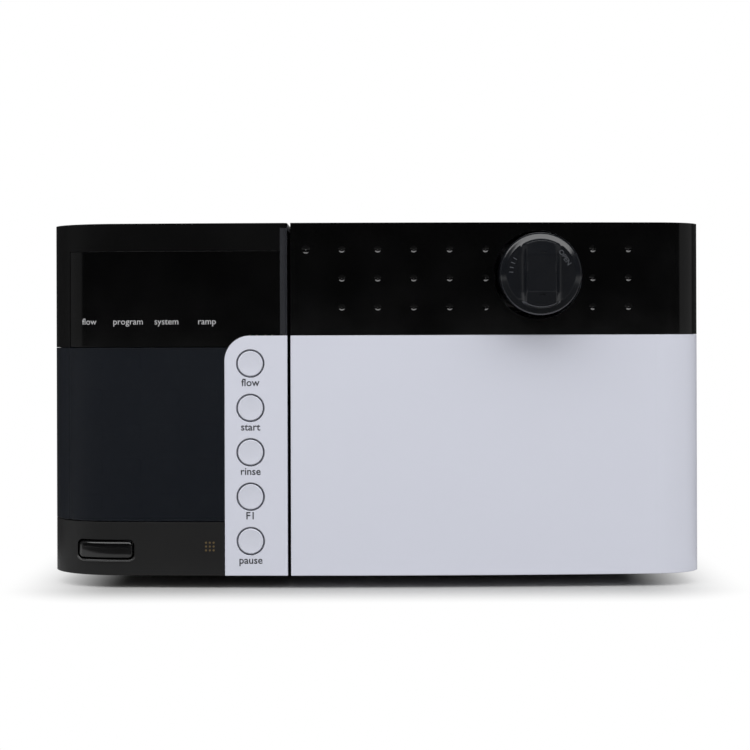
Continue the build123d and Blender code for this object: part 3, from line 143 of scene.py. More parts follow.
# Pump bay
PUMP_COLUMNS = (4, 38)
PUMP_Z = 62
HEAD_FRONT_Y = -149.2
NUT_OFF = 8.5            # from a head's middle to its thumb nuts
VALVE_Y = -136.2
VALVE_OFF = 18           # from the plungers' height to the foot of a valve cartridge
VALVE_CORNER = 5.5
FILTER_FOOT = (95, -120, 84)
FILTER_R = 5.4
FILTER_CORNER = 7.0

# Camera: level, on the centre plane
CAMERA_AWAY = 850.0      # from the front of the door
CAMERA_Z = 101.7
PX_PER_MM = 2.54         # at the front of the door
PICTURE = 750
HORIZON_ROW = 330
CAMERA_ROLL = 0.17
SENSOR_WIDTH = 36.0

# Light and floor
AMBIENT = 0.84
# What shiny faces mirror: from 0.7 to 0.97 of the way back, the room goes from 0.012 to full brightness
MIRRORED_ROOM = (0.7, 0.97, 0.012, 1.0)
FLOOR_TONE = 0.42        # as the camera sees it
FLOOR_BOUNCE = 0.4       # as it lights the object
FLOOR_REACH = 4.0
SHADOW_INSET = 30        # from the case's side to where the shadow starts to run out
SHADOW_REACH = 0.05
AIM = Vector((0, -0.1, 0.08))
LAMPS = [
    ("ceiling", (-0.06, -0.8, 1.2), 3.2, 0.75, 20.0),
    ("left", (-1.25, -0.2, 0.25), 0.6, 0.9, 0.25),
    ("right", (1.2, 0.0, 0.25), 1.0, 0.9, 0.4),
]

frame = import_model()


def mm(*values):
    """Millimetres to metres: one number, or a Vector of three."""
    if len(values) == 1:
        return values[0] * 0.001
    return Vector(values) * 0.001


def front_y(x):
    """Y of the fascia's outer face at x, both in millimetres."""
    centre_y = FRONT_Y + BOW_R
    for side, r in ((-1, CORNER_L), (1, CORNER_R)):
        corner_x = side * (HALF_W - r)
        if side * x > side * corner_x * BOW_R / (BOW_R - r):
            corner_y = centre_y - sqrt((BOW_R - r) ** 2 - corner_x ** 2)
            return corner_y - sqrt(r ** 2 - (x - corner_x) ** 2)
    return centre_y - sqrt(BOW_R ** 2 - x ** 2)


def ranged(nodes, limits):
    """Map Range node with its four limits, from..to and onto from..to."""
    node = nodes.new("ShaderNodeMapRange")
    for socket, number in zip(("From Min", "From Max", "To Min", "To Max"), limits):
        node.inputs[socket].default_value = number
    return node


def add(name, data):
    """New object in the scene."""
    thing = bpy.data.objects.new(name, data)
    bpy.context.scene.collection.objects.link(thing)
    return thing


# ---------------------------------------------------------------- materials

class Look:
    """One procedural material: a Principled shader with its nodes close at hand."""

    def __init__(self, name, roughness=0.5, metallic=0.0, specular=0.5, **sockets):
        self.material = bpy.data.materials.new(name)
        self.material.use_nodes = True
        self.nodes = self.material.node_tree.nodes
        self.links = self.material.node_tree.links
        self.shader = self.nodes["Principled BSDF"]
        self.set("Roughness", roughness)
        self.set("Metallic", metallic)
        self.set("Specular IOR Level", specular)
        for socket, value in sockets.items():
            self.set(socket.replace("_", " "), value)
        self.place = self.nodes.new("ShaderNodeTexCoord").outputs["Object"]

    def set(self, socket, value):
        self.shader.inputs[socket].default_value = value

    def along(self, axis):
        """The place along one axis, in metres."""
        parts = self.nodes.new("ShaderNodeSeparateXYZ")
        self.links.new(self.place, parts.inputs["Vector"])
        return parts.outputs[axis]

    def stretched(self, x, y, z):
        """Coordinates for a texture that is drawn out along an axis."""
        node = self.nodes.new("ShaderNodeMapping")
        node.inputs["Scale"].default_value = (x, y, z)
        self.links.new(self.place, node.inputs["Vector"])
        return node.outputs["Vector"]

    def noise(self, size, detail=3.0, place=None):
        """Noise whose features are about `size` millimetres across."""
        node = self.nodes.new("ShaderNodeTexNoise")
        node.inputs["Scale"].default_value = 1 / mm(size)
        node.inputs["Detail"].default_value = detail
        self.links.new(place or self.place, node.inputs["Vector"])
        return node.outputs["Fac"]

    def spread(self, value, low, high, start=0.3, end=0.7):
        """A texture's value, drawn from start..end to low..high."""
        node = ranged(self.nodes, (start, end, low, high))
        self.links.new(value, node.inputs["Value"])
        return node.outputs["Result"]

    def mix(self, factor, first, second):
        """Colour between two others, each a colour or a socket."""
        node = self.nodes.new("ShaderNodeMix")
        node.data_type = "RGBA"
        self.links.new(factor, node.inputs["Factor"])
        for socket, colour in ((node.inputs["A"], first), (node.inputs["B"], second)):
            if isinstance(colour, tuple):
                socket.default_value = (*colour, 1.0)
            else:
                self.links.new(colour, socket)
        return node.outputs["Result"]

    def colour(self, value):
        self.links.new(value, self.shader.inputs["Base Color"])
        return self

    def rough(self, value):
        self.links.new(value, self.shader.inputs["Roughness"])
        return self

    def relief(self, height, depth, edge=0.0):
        """Bump of `depth` millimetres over edges that are eased by `edge` millimetres."""
        node = self.nodes.new("ShaderNodeBump")
        node.inputs["Strength"].default_value = 1.0
        node.inputs["Distance"].default_value = mm(depth)
        self.links.new(height, node.inputs["Height"])
        if edge:
            bevel = self.nodes.new("ShaderNodeBevel")
            bevel.samples = 6
            bevel.inputs["Radius"].default_value = mm(edge)
            self.links.new(bevel.outputs["Normal"], node.inputs["Normal"])
        self.links.new(node.outputs["Normal"], self.shader.inputs["Normal"])
        return self


def shade(colour, factor):
    """A darker or lighter colour."""
    return tuple(c * factor for c in colour)


def moulding(
    name, colour, roughness, grain=0.35, depth=0.01, edge=0.3, tone=0.06, smudge=0.05, **sockets
):
    """Injection moulded plastic: slight mottling, rubbed patches in the gloss and a spark-eroded grain."""
    look = Look(name, roughness, **sockets)
    look.colour(look.mix(look.noise(45), shade(colour, 1 - tone), shade(colour, 1 + tone)))
    look.rough(look.spread(look.noise(18, 5), roughness - smudge, roughness + smudge))
    return look.relief(look.noise(grain, 2), depth, edge)


def turned(name, colour, roughness, scale, depth=0.004):
    """Worked metal with fine tool marks drawn out along one axis."""
    look = Look(name, roughness, metallic=1.0)
    marks = look.noise(0.8, 4, look.stretched(*scale))
    look.colour(look.mix(look.noise(25), shade(colour, 0.92), shade(colour, 1.08)))
    look.rough(look.spread(marks, roughness - 0.08, roughness + 0.1))
    return look.relief(marks, depth, 0.15)


def powder_coat(name, colour, roughness=0.5):
    """Finely pebbled powder coat."""
    look = Look(name, roughness)
    pebbles = look.noise(0.7, 3)
    look.colour(look.mix(look.noise(60), shade(colour, 0.96), shade(colour, 1.03)))
    look.rough(look.spread(pebbles, roughness - 0.07, roughness + 0.07))
    return look.relief(pebbles, 0.03, 0.4)


def galvanised(name, colour):
    """Zinc-coated sheet with its spangle."""
    look = Look(name, 0.38, metallic=0.85)
    spangle = look.nodes.new("ShaderNodeTexVoronoi")
    spangle.inputs["Scale"].default_value = 1 / mm(7)
    look.links.new(look.place, spangle.inputs["Vector"])
    tone = look.spread(spangle.outputs["Color"], 0.0, 1.0, 0.0, 1.0)
    look.colour(look.mix(tone, shade(colour, 0.9), shade(colour, 1.08)))
    look.rough(look.spread(tone, 0.3, 0.46, 0.0, 1.0))
    return look.relief(look.noise(1.5), 0.004, 0.15)


def circuit_board(name):
    """Green solder mask over copper tracks, with pads in rows."""
    look = Look(name, 0.32)
    tracks = look.nodes.new("ShaderNodeTexBrick")
    tracks.inputs["Scale"].default_value = 1 / mm(9)
    tracks.inputs["Mortar Size"].default_value = 0.05
    tracks.inputs["Color1"].default_value = (0.012, 0.085, 0.03, 1)
    tracks.inputs["Color2"].default_value = (0.016, 0.11, 0.04, 1)
    tracks.inputs["Mortar"].default_value = (0.035, 0.2, 0.07, 1)
    look.links.new(look.place, tracks.inputs["Vector"])
    pads = look.nodes.new("ShaderNodeTexVoronoi")
    pads.inputs["Scale"].default_value = 1 / mm(3.2)
    pads.inputs["Randomness"].default_value = 0.25
    look.links.new(look.place, pads.inputs["Vector"])
    pad = look.spread(pads.outputs["Distance"], 1.0, 0.0, 0.16, 0.19)
    look.colour(look.mix(pad, tracks.outputs["Color"], (0.55, 0.5, 0.38)))
    look.rough(look.spread(look.noise(6), 0.25, 0.4))
    return look.relief(tracks.outputs["Fac"], 0.03, 0.1)


def frame_plastic(name, low, high):
    """Charcoal moulding with a fine satin grain, and a darker header above."""
    look = Look(name, 0.4, specular=0.22)
    header = look.spread(look.along("Z"), 0.0, 1.0, mm(60), mm(64))
    mottle = look.noise(45)
    lower = look.mix(mottle, shade(low, 0.94), shade(low, 1.06))
    upper = look.mix(mottle, shade(high, 0.94), shade(high, 1.06))
    look.colour(look.mix(header, lower, upper))
    look.rough(look.spread(look.noise(18, 5), 0.34, 0.44))
    return look.relief(look.noise(0.3, 2), 0.008, 0.35)


def smoked(name):
    """Smoked cover: nearly black, a little light goes through to the keys, and solid at its corner."""
    look = moulding(name, (0.0082, 0.0101, 0.0142), 0.34, grain=0.3, depth=0.006, tone=0.08, specular=0.2)
    clear = look.spread(look.along("X"), 1.0, 0.76, mm(5 - HALF_W), mm(9 - HALF_W))
    look.links.new(clear, look.shader.inputs["Alpha"])
    return look


# The finish of each material slot, and of the pieces that are made below
LOOKS = {
    "sheet_steel": galvanised("zinc_sheet", (0.62, 0.63, 0.64)),
    "case_paint": powder_coat("grey_powder_coat", (0.6, 0.62, 0.66)),
    "steel": turned("stainless_steel", (0.66, 0.66, 0.67), 0.3, (0.08, 4, 4), depth=0.001),
    "rubber": moulding("black_rubber", (0.022, 0.022, 0.022), 0.75, 0.6, 0.03, 0.5, smudge=0.08),
    "charcoal": frame_plastic("charcoal_plastic", (0.0148, 0.0148, 0.015), (0.0012, 0.0012, 0.0013)),
    "charcoal_gloss": moulding("charcoal_smooth", (0.012, 0.0122, 0.013), 0.3, 0.4, 0.004, 0.5, specular=0.3),
    "window_black": moulding("window_black", (0.0008, 0.0008, 0.0009), 0.12, 1.5, 0.0015, 0.15, smudge=0.03),
    "display_glass": moulding("display_glass", (0.012, 0.016, 0.016), 0.15, 1.5, 0.001, 0.1),
    "board": circuit_board("circuit_board"),
    "white": moulding("white_plastic", (0.62, 0.635, 0.715), 0.36, 0.4, 0.006, 0.45, tone=0.012, smudge=0.04),
    "white_button": moulding("white_button", (0.6, 0.615, 0.69), 0.34, 0.3, 0.006, 0.3, tone=0.015),
    "dark_plastic": moulding("dark_plastic", (0.018, 0.018, 0.019), 0.45, 0.4, 0.015, 0.3),
    "key_rubber": moulding("key_rubber", (0.12, 0.12, 0.13), 0.6, 0.5, 0.015, 0.5),
    "smoke": smoked("smoked_cover"),
    "band_black": moulding(
        "band_black", (0.0006, 0.0006, 0.0007), 0.11, 1.5, 0.001, 0.08, smudge=0.03, specular=0.8
    ),
    "knob": moulding(
        "knob_gloss", (0.006, 0.0068, 0.0088), 0.17, 0.6, 0.002, 0.3, smudge=0.04, tone=0.1, specular=0.8
    ),
    "aluminium": turned("machined_aluminium", (0.68, 0.68, 0.7), 0.32, (12, 1, 1)),
    "cast_aluminium": powder_coat("cast_aluminium", (0.5, 0.5, 0.51), 0.45),
    "white_tube": moulding("white_tube", (0.72, 0.72, 0.7), 0.35, 1.0, 0.005, 0.1, tone=0.03),
    "dark_metal": powder_coat("dark_metal", (0.03, 0.03, 0.033), 0.5),
    "sapphire": turned("sapphire", (0.6, 0.65, 0.72), 0.1, (1, 6, 1)),
    # Painted highlight: lighter than the charcoal header, for the header's rounded edge beside the door
    "edge_painted_highlight": moulding(
        "edge_painted_highlight", (0.021, 0.022, 0.026), 0.22, 0.4, 0.002, 0.0, specular=0.8
    ),
    "power": moulding("power_plastic", (0.002, 0.002, 0.0022), 0.16, 0.4, 0.002, 0.0, specular=0.9),
    "bezel": moulding("bezel_plastic", (0.03, 0.03, 0.031), 0.22, 0.4, 0.002, 0.0, specular=1.0),
}
LOOKS["cast_aluminium"].set("Metallic", 0.8)
INK = {
    "dark": moulding("dark_ink", (0.035, 0.036, 0.045), 0.5, 0.3, 0.002, 0.0, tone=0.1),
    "light": moulding("light_ink", (0.42, 0.42, 0.43), 0.5, 0.3, 0.002, 0.0, tone=0.05),
    "amber": moulding("amber_ink", (0.11, 0.075, 0.03), 0.5, 0.3, 0.002, 0.0, tone=0.1),
    "grey": moulding("grey_ink", (0.07, 0.075, 0.085), 0.4, 0.3, 0.002, 0.0, tone=0.1),
    "card": moulding("black_card", (0.03, 0.03, 0.03), 0.8, 0.3, 0.002, 0.0, tone=0.1),
    "shade": moulding("shade_ink", (0.006, 0.006, 0.008), 0.4, 0.3, 0.002, 0.0, tone=0.1),
}

for node in frame["nodes"].values():
    for place in node.material_slots:
        place.material = LOOKS[place.material.name.split(".")[0]].material


# ---------------------------------------------------------------- making pieces

def dress(mesh, look, body):
    """A new object from a mesh, with one material, that rides on a body."""
    mesh.materials.clear()
    mesh.materials.append(look.material)
    thing = add(mesh.name, mesh)
    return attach(thing, body)


def finish_mesh(name, form, smooth=40):
    """Mesh from a bmesh, smooth except over edges sharper than `smooth` degrees."""
    for face in form.faces:
        face.smooth = True
    for edge in form.edges:
        edge.smooth = edge.calc_face_angle(0.0) < radians(smooth)
    mesh = bpy.data.meshes.new(name)
    form.to_mesh(mesh)
    form.free()
    return mesh


def bridge(form, rings):
    """Faces between neighbouring closed rings of vertices."""
    for near, far in zip(rings, rings[1:]):
        for k in range(len(near)):
            after = (k + 1) % len(near)
            form.faces.new((near[k], near[after], far[after], far[k]))


def disc(name, r, at, sides=20):
    """Flat disc laid on a surface by `at`."""
    form = bmesh.new()
    angles = [2 * pi * k / sides for k in range(sides)]
    form.faces.new([form.verts.new(at(r * cos(angle), r * sin(angle))) for angle in angles])
    return finish_mesh(name, form)


def plate(name, width, height, at, spin=0.0):
    """Flat bar laid on a surface by `at`, turned by `spin`."""
    form = bmesh.new()
    rim = []
    for su, sv in ((-1, -1), (1, -1), (1, 1), (-1, 1)):
        u = su * width / 2
        v = sv * height / 2
        rim.append(form.verts.new(at(u * cos(spin) - v * sin(spin), u * sin(spin) + v * cos(spin))))
    form.faces.new(rim)
    return finish_mesh(name, form)


def letters(name, words, size, at, look, body, spin=0.0, weight=0.012):
    """Flat lettering: `at` maps its right and up, in millimetres, onto the surface that carries it."""
    curve = bpy.data.curves.new(name, "FONT")
    curve.body = words
    curve.size = size
    curve.align_x = "CENTER"
    curve.align_y = "CENTER"
    curve.resolution_u = 3
    curve.offset = weight * size
    source = bpy.data.objects.new(name, curve)
    mesh = bpy.data.meshes.new_from_object(source)
    bpy.data.objects.remove(source)
    bpy.data.curves.remove(curve)
    for vertex in mesh.vertices:
        u = vertex.co.x
        v = vertex.co.y
        vertex.co = at(u * cos(spin) - v * sin(spin), u * sin(spin) + v * cos(spin))
    mesh.name = name
    return dress(mesh, look, body)


def on_fascia(x, z):
    """Places a print on the bowed front, round x and z."""
    return lambda u, v: mm(x + u, front_y(x + u) - PRINT_LIFT, z + v)


def knob_spot(x, z, lift=PRINT_LIFT):
    """Places a print on the knob's face or grip, `x` and `z` from its axis."""
    def at(u, v):
        y = KNOB_FACE_Y - grip_height(x + u, z + v) - lift
        return mm(KNOB_X + x + u, y, KNOB_Z + z + v)
    return at


def on_plane(x, y, z):
    """Places a print on a flat face that looks forward."""
    return lambda u, v: mm(x + u, y, z + v)


# ---------------------------------------------------------------- control panel

for word, z in zip(BUTTON_WORDS, BUTTON_ROWS):
    spot = on_fascia(BUTTON_X, z - WORD_DROP)
    letters("word_" + word, word, 4.1, spot, INK["dark"], "case")
for word, x in LAMP_WORDS:
    letters("lamp_" + word, word, 3.5, on_fascia(x, LAMP_Z), INK["light"], "case", weight=0.002)
for row, z in enumerate(KEY_ROWS):
    for column, x in enumerate(KEY_COLUMNS):
        mark = KEY_MARKS[row * len(KEY_COLUMNS) + column]
        name = "key_mark_%d_%d" % (row, column)
        letters(name, mark, 4.0, on_plane(x, KEY_FRONT_Y - KEY_PRINT_LIFT, z), INK["light"], "case")
for row in range(DOTS_SIDE):
    for column in range(DOTS_SIDE):
        spot = on_fascia(DOTS_X + column * DOTS_PITCH, DOTS_Z + row * DOTS_PITCH)
        dress(disc("lamp_dot_%d_%d" % (row, column), DOT_R, spot), INK["amber"], "case")


# ---------------------------------------------------------------- drain knob

def grip_height(u, v):
    """Height of the finger grip over the knob's face, with hollow flanks and sloping ends."""
    across = max(0.0, min(1.0, (GRIP_FOOT - abs(u)) / (GRIP_FOOT - GRIP_TOP)))
    along = max(0.0, min(1.0, (abs(v) - GRIP_FLAT) / (KNOB_FACE_R - GRIP_FLAT)))
    return (KNOB_FACE_Y - KNOB_FRONT_Y) * across ** GRIP_HOLLOW * (1 - GRIP_FALL * along)


def knob_mesh():
    """Knob turned about its axis, with the grip raised out of its face."""
    form = bmesh.new()
    turns = 192
    rings = []
    steps = 56
    inner = KNOB_FACE_R - 0.5
    for i in range(1, steps + 1):
        r = inner * i / steps
        ring = []
        for k in range(turns):
            u = r * cos(2 * pi * k / turns)
            v = r * sin(2 * pi * k / turns)
            y = KNOB_FACE_Y - grip_height(u, v) * min(1.0, (inner - r) / GRIP_BLEND)
            ring.append(form.verts.new(mm(KNOB_X + u, y, KNOB_Z + v)))
        rings.append(ring)
    base_y = front_y(KNOB_X)
    outline = [(KNOB_FACE_R - 0.15, KNOB_FACE_Y + 0.15), (KNOB_FACE_R + 0.1, KNOB_FACE_Y + 0.35)]
    outline += [(KNOB_BASE_R - 1.0, KNOB_FACE_Y + 0.62), (KNOB_BASE_R - 0.5, KNOB_FACE_Y + 0.95)]
    outline += [(KNOB_BASE_R - 0.15, KNOB_FACE_Y + 1.45), (KNOB_BASE_R, KNOB_FACE_Y + 2.2)]
    outline += [(KNOB_BASE_R, base_y - 1.2), (KNOB_BASE_R - 0.3, base_y - 0.8)]
    outline += [(KNOB_SKIRT_R, base_y - 0.7), (KNOB_SKIRT_R, KNOB_BACK_Y), (KNOB_SKIRT_R - 2, KNOB_BACK_Y)]
    for r, y in outline:
        spots = [(cos(2 * pi * k / turns) * r, sin(2 * pi * k / turns) * r) for k in range(turns)]
        rings.append([form.verts.new(mm(KNOB_X + u, y, KNOB_Z + v)) for u, v in spots])
    bridge(form, rings)
    form.faces.new(rings[0])
    form.faces.new(reversed(rings[-1]))
    bmesh.ops.recalc_face_normals(form, faces=form.faces)
    return finish_mesh("knob_body", form)


knob = dress(knob_mesh(), LOOKS["knob"], "drain_knob")
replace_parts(knob, "drain_knob")
for end in (1, -1):
    dash = plate("grip_dash_%s" % ("top" if end > 0 else "low"), 2.4, 0.5, knob_spot(0.6, end * DASH_Z, 0.0))
    dress(dash, INK["shade"], "drain_knob")
letters(
    "knob_word", "OPEN", 2.6, knob_spot(9.2, 6.2), INK["grey"], "drain_knob", spin=radians(-56)
)
for i in range(4):
    angle = radians(150 + 9 * i)
    spot = knob_spot(TICK_R * cos(angle), TICK_R * sin(angle))
    tick = plate("knob_tick_%d" % i, 1.6, 0.3, spot, spin=angle)
    dress(tick, INK["grey"], "drain_knob")


# ---------------------------------------------------------------- power button

def bar_outline(grow, count=24):
    """Rounded outline of the power button, grown or drawn in, in X and Z from its centre."""
    r = POWER_CORNER + grow
    half_w = POWER_W / 2 + grow
    half_h = POWER_H / 2 + grow
    places = []
    for quarter, (su, sv) in enumerate(((1, 1), (-1, 1), (-1, -1), (1, -1))):
        for k in range(count + 1):
            angle = (quarter + k / count) * pi / 2
            places.append((su * (half_w - r) + r * cos(angle), sv * (half_h - r) + r * sin(angle)))
        if quarter in (0, 2):
            places += [(su * (half_w - r) * (1 - k / 6), sv * half_h) for k in range(1, 12)]
    return places


def bar_rings(rings, sink=0.0):
    """Mesh through rings (growth, height) round the button; `sink` lowers them round its upper half."""
    form = bmesh.new()
    made = []
    for grow, height in rings:
        ring = []
        for u, v in bar_outline(grow):
            x = POWER_X + u
            raised = height - sink * max(0.0, min(1.0, 0.6 + v / POWER_H))
            ring.append(form.verts.new(mm(x, front_y(x) - raised, POWER_Z + v)))
        made.append(ring)
    bridge(form, made)
    return form, made


def power_cap():
    """Button cap with rolled edges, crowned across its height and bowed like the front."""
    edge = [(0.0, -POWER_DEPTH), (0.0, POWER_PROUD - POWER_ROLL)]
    for angle in (pi / 8, pi / 4, 3 * pi / 8, pi / 2):
        edge.append((-POWER_ROLL * (1 - cos(angle)), POWER_PROUD - POWER_ROLL * (1 - sin(angle))))
    form, made = bar_rings(edge)
    inner = made[-1]
    # Strips across the face join each place of the upper edge to the one below it
    columns = []
    for top, low in zip(inner[:len(inner) // 2], reversed(inner)):
        column = [top]
        for step in range(1, CROWN_STEPS):
            spot = top.co.lerp(low.co, step / CROWN_STEPS)
            spot.y -= mm(POWER_CROWN) * sin(pi * step / CROWN_STEPS)
            column.append(form.verts.new(spot))
        columns.append(column + [low])
    for left, right in zip(columns, columns[1:]):
        for k in range(CROWN_STEPS):
            form.faces.new((left[k], right[k], right[k + 1], left[k + 1]))
    for end in (columns[0], columns[-1]):
        form.faces.new(end)
    bmesh.ops.recalc_face_normals(form, faces=form.faces)
    return finish_mesh("power_cap", form, 60)


cap = dress(power_cap(), LOOKS["power"], "power_button")
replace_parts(cap, "power_button")
bead = [(0.62, -1.2), (0.62, 0.02), (0.7, 0.16), (0.9, 0.26), (1.15, 0.24), (1.4, 0.1), (1.5, -0.1)]
lip, _ = bar_rings(bead, LIP_SINK)
bmesh.ops.recalc_face_normals(lip, faces=lip.faces)
dress(finish_mesh("power_bezel", lip, 60), LOOKS["bezel"], "case")


# ---------------------------------------------------------------- header's edge and its painted highlight

def header_edge():
    """Rounded edge of the header beside the door: its curve catches real reflections, and its colour, lighter
    than the header's, is a painted highlight.
    """
    form = bmesh.new()
    steps = 10
    start_x = EDGE_X - EDGE_R - EDGE_LAP
    outline = [(start_x, front_y(start_x) - 0.01)]
    for k in range(steps):
        angle = k / (steps - 1) * radians(EDGE_TURN)
        x = EDGE_X - EDGE_R + EDGE_R * sin(angle)
        outline.append((x, front_y(EDGE_X) + EDGE_R - (EDGE_R + EDGE_LIFT) * cos(angle)))
    rows = [[form.verts.new(mm(x, y, z)) for x, y in outline] for z in EDGE_ROWS]
    for low, high in zip(rows, rows[1:]):
        for k in range(steps):
            form.faces.new((low[k], low[k + 1], high[k + 1], high[k]))
    return finish_mesh("header_edge", form, 60)


# The rounded edge in a lighter colour that is a painted highlight
dress(header_edge(), LOOKS["edge_painted_highlight"], "case")


# ---------------------------------------------------------------- turned parts

def hexagon(corner):
    """Radius of a hexagon at an angle."""
    return lambda angle: corner * cos(pi / 6) / cos(angle % (pi / 3) - pi / 6)


def knurled(r):
    """Radius of a straight knurl at an angle."""
    return lambda angle: r - 0.16 * (1 - abs(sin(angle * 15)))


def cross(length, width):
    """Radius of a cross recess at an angle."""
    def radius(angle):
        off = abs((angle + pi / 4) % (pi / 2) - pi / 4)
        return min(length / cos(off), width / max(sin(off), 0.01), length)
    return radius


def spun(name, spots, rings, look):
    """One piece on the case, turned about the axis of each spot (centre, axis).

    A ring is its height along the axis and its radius, which is a number or depends on the angle.
    """
    form = bmesh.new()
    turns = 60
    for centre, axis in spots:
        out = Vector(axis)
        side = Vector((0, 0, 1)) if abs(out.z) < 0.5 else Vector((0, 1, 0))
        other = out.cross(side)
        made = []
        for height, radius in rings:
            ring = []
            for k in range(turns):
                angle = 2 * pi * k / turns
                r = radius(angle) if callable(radius) else radius
                spot = Vector(centre) + out * height + (side * cos(angle) + other * sin(angle)) * r
                ring.append(form.verts.new(mm(*spot)))
            made.append(ring)
        bridge(form, made)
        form.faces.new(made[-1])
    bmesh.ops.recalc_face_normals(form, faces=form.faces)
    return dress(finish_mesh(name, form, 30), look, "case")


def pan_head(r, height):
    """Rings of a screw's domed head with its cross recess."""
    recess = cross(0.62 * r, 0.17 * r)
    dome = [(0.0, r), (0.45 * height, r), (0.85 * height, 0.86 * r), (height, 0.68 * r)]
    return dome + [(height, recess), (height - 0.9, recess)]


def behind(places):
    """Spots on the rear panel that look backward."""
    return [((x, REAR_Y, z), (0, 1, 0)) for x, z in places]


steel = LOOKS["steel"]
spots = []
for side in (-1, 1):
    spots += [((side * CASE_SCREW_X, y, CASE_SCREW_Z), (side, 0, 0)) for y in CASE_SCREW_YS]
screws = spun("cover_screws", spots, pan_head(CASE_SCREW_R, 0.39), steel)
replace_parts(screws, "case_screws")

places = [(x, z) for x in REAR_SCREW_XS for z in REAR_SCREW_ZS]
offs = (-FAN_SCREW_OFF, FAN_SCREW_OFF)
places += [(FAN_X + dx, FAN_Z + dz) for dx in offs for dz in offs]
places += INLET_SCREWS
spun("rear_screws", behind(places), pan_head(REAR_SCREW_R, 1.2), steel)

hexagonal = hexagon(POST_CORNER)
rings = [(0.0, hexagonal), (1.2, hexagonal), (1.4, 2.0), (1.4, 1.1), (0.2, 1.1)]
spun("socket_posts", behind((x, POST_Z) for x in POST_XS), rings, steel)

spots = []
for x in PUMP_COLUMNS:
    spots += [((x + dx, HEAD_FRONT_Y, PUMP_Z), (0, -1, 0)) for dx in (-NUT_OFF, NUT_OFF)]
rings = [(0.0, 3.0), (0.8, 3.0), (1.0, knurled(4.1)), (6.6, knurled(4.15))]
rings += [(7.3, 3.6), (7.9, 3.2), (7.9, 1.4), (7.0, 1.3)]
nuts = spun("thumb_nuts", spots, rings, LOOKS["dark_plastic"])
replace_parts(nuts, "head_thumb_nuts")

spots = []
for x in PUMP_COLUMNS:
    spots += [((x, VALVE_Y, PUMP_Z + side * VALVE_OFF), (0, 0, side)) for side in (-1, 1)]
hexagonal = hexagon(VALVE_CORNER)
rings = [(-0.2, 5.2), (0.3, hexagonal), (5.8, hexagonal), (6.4, 4.4), (7.0, 4.4)]
rings += [(7.2, knurled(5.0)), (10.6, knurled(5.0)), (11.3, 4.2), (11.9, 2.4), (11.9, 0.9)]
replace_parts(spun("valve_cartridges", spots, rings, steel), "check_valves")

hexagonal = hexagon(FILTER_CORNER)
rings = [(0.0, 4.6), (0.6, FILTER_R), (14.6, FILTER_R), (15.2, 5.1), (15.3, hexagonal), (21.8, hexagonal)]
rings += [(22.3, FILTER_R), (23.4, 5.2), (23.9, 4.2), (23.9, 0.9)]
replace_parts(spun("filter_body", [(FILTER_FOOT, (0, 0, 1))], rings, steel), "line_filter")


# ---------------------------------------------------------------- return spring

# The left crosshead presses its spring together
spring = dress(frame["nodes"]["return_spring_left"].data.copy(), steel, "case")
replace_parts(spring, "return_spring_left")
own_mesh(spring)


# ---------------------------------------------------------------- light, floor and camera

def direct_rays(nodes, links):
    """Light path node, and a socket that is 1 for the camera's rays, straight or through glass."""
    rays = nodes.new("ShaderNodeLightPath")
    either = nodes.new("ShaderNodeMath")
    either.operation = "MAXIMUM"
    links.new(rays.outputs["Is Camera Ray"], either.inputs[0])
    links.new(rays.outputs["Is Transmission Ray"], either.inputs[1])
    return rays, either.outputs["Value"]


def blend(nodes, links, factor, first, second):
    """Shader between two others."""
    mix = nodes.new("ShaderNodeMixShader")
    links.new(factor, mix.inputs["Fac"])
    links.new(first, mix.inputs[1])
    links.new(second, mix.inputs[2])
    return mix.outputs["Shader"]


def vector_step(nodes, links, operation, source):
    """Vector maths node fed with one socket."""
    node = nodes.new("ShaderNodeVectorMath")
    node.operation = operation
    links.new(source, node.inputs[0])
    return node


def world():
    """White to the camera; round the object a soft room that shiny faces see as dark in front."""
    sky = bpy.data.worlds.new("studio")
    bpy.context.scene.world = sky
    sky.use_nodes = True
    nodes = sky.node_tree.nodes
    links = sky.node_tree.links
    nodes.clear()
    parts = nodes.new("ShaderNodeSeparateXYZ")
    links.new(nodes.new("ShaderNodeTexCoord").outputs["Generated"], parts.inputs["Vector"])
    backward = ranged(nodes, MIRRORED_ROOM)
    backward.interpolation_type = "SMOOTHSTEP"
    links.new(parts.outputs["Y"], backward.inputs["Value"])
    rays, direct = direct_rays(nodes, links)
    light = {}
    for name in ("room", "mirrored", "paper"):
        light[name] = nodes.new("ShaderNodeBackground")
        light[name].inputs["Color"].default_value = (1, 1, 1, 1)
    light["room"].inputs["Strength"].default_value = AMBIENT
    links.new(backward.outputs["Result"], light["mirrored"].inputs["Strength"])
    shine = {name: node.outputs["Background"] for name, node in light.items()}
    indirect = blend(nodes, links, rays.outputs["Is Glossy Ray"], shine["room"], shine["mirrored"])
    whole = blend(nodes, links, direct, indirect, shine["paper"])
    links.new(whole, nodes.new("ShaderNodeOutputWorld").inputs["Surface"])


def lamp(name, place, width, height, power):
    """Soft box that looks at the object's middle."""
    light = bpy.data.lights.new(name, "AREA")
    light.shape = "RECTANGLE"
    light.size = width
    light.size_y = height
    light.energy = power
    thing = add(name, light)
    thing.location = place
    thing.rotation_euler = (AIM - thing.location).to_track_quat("-Z", "Y").to_euler()


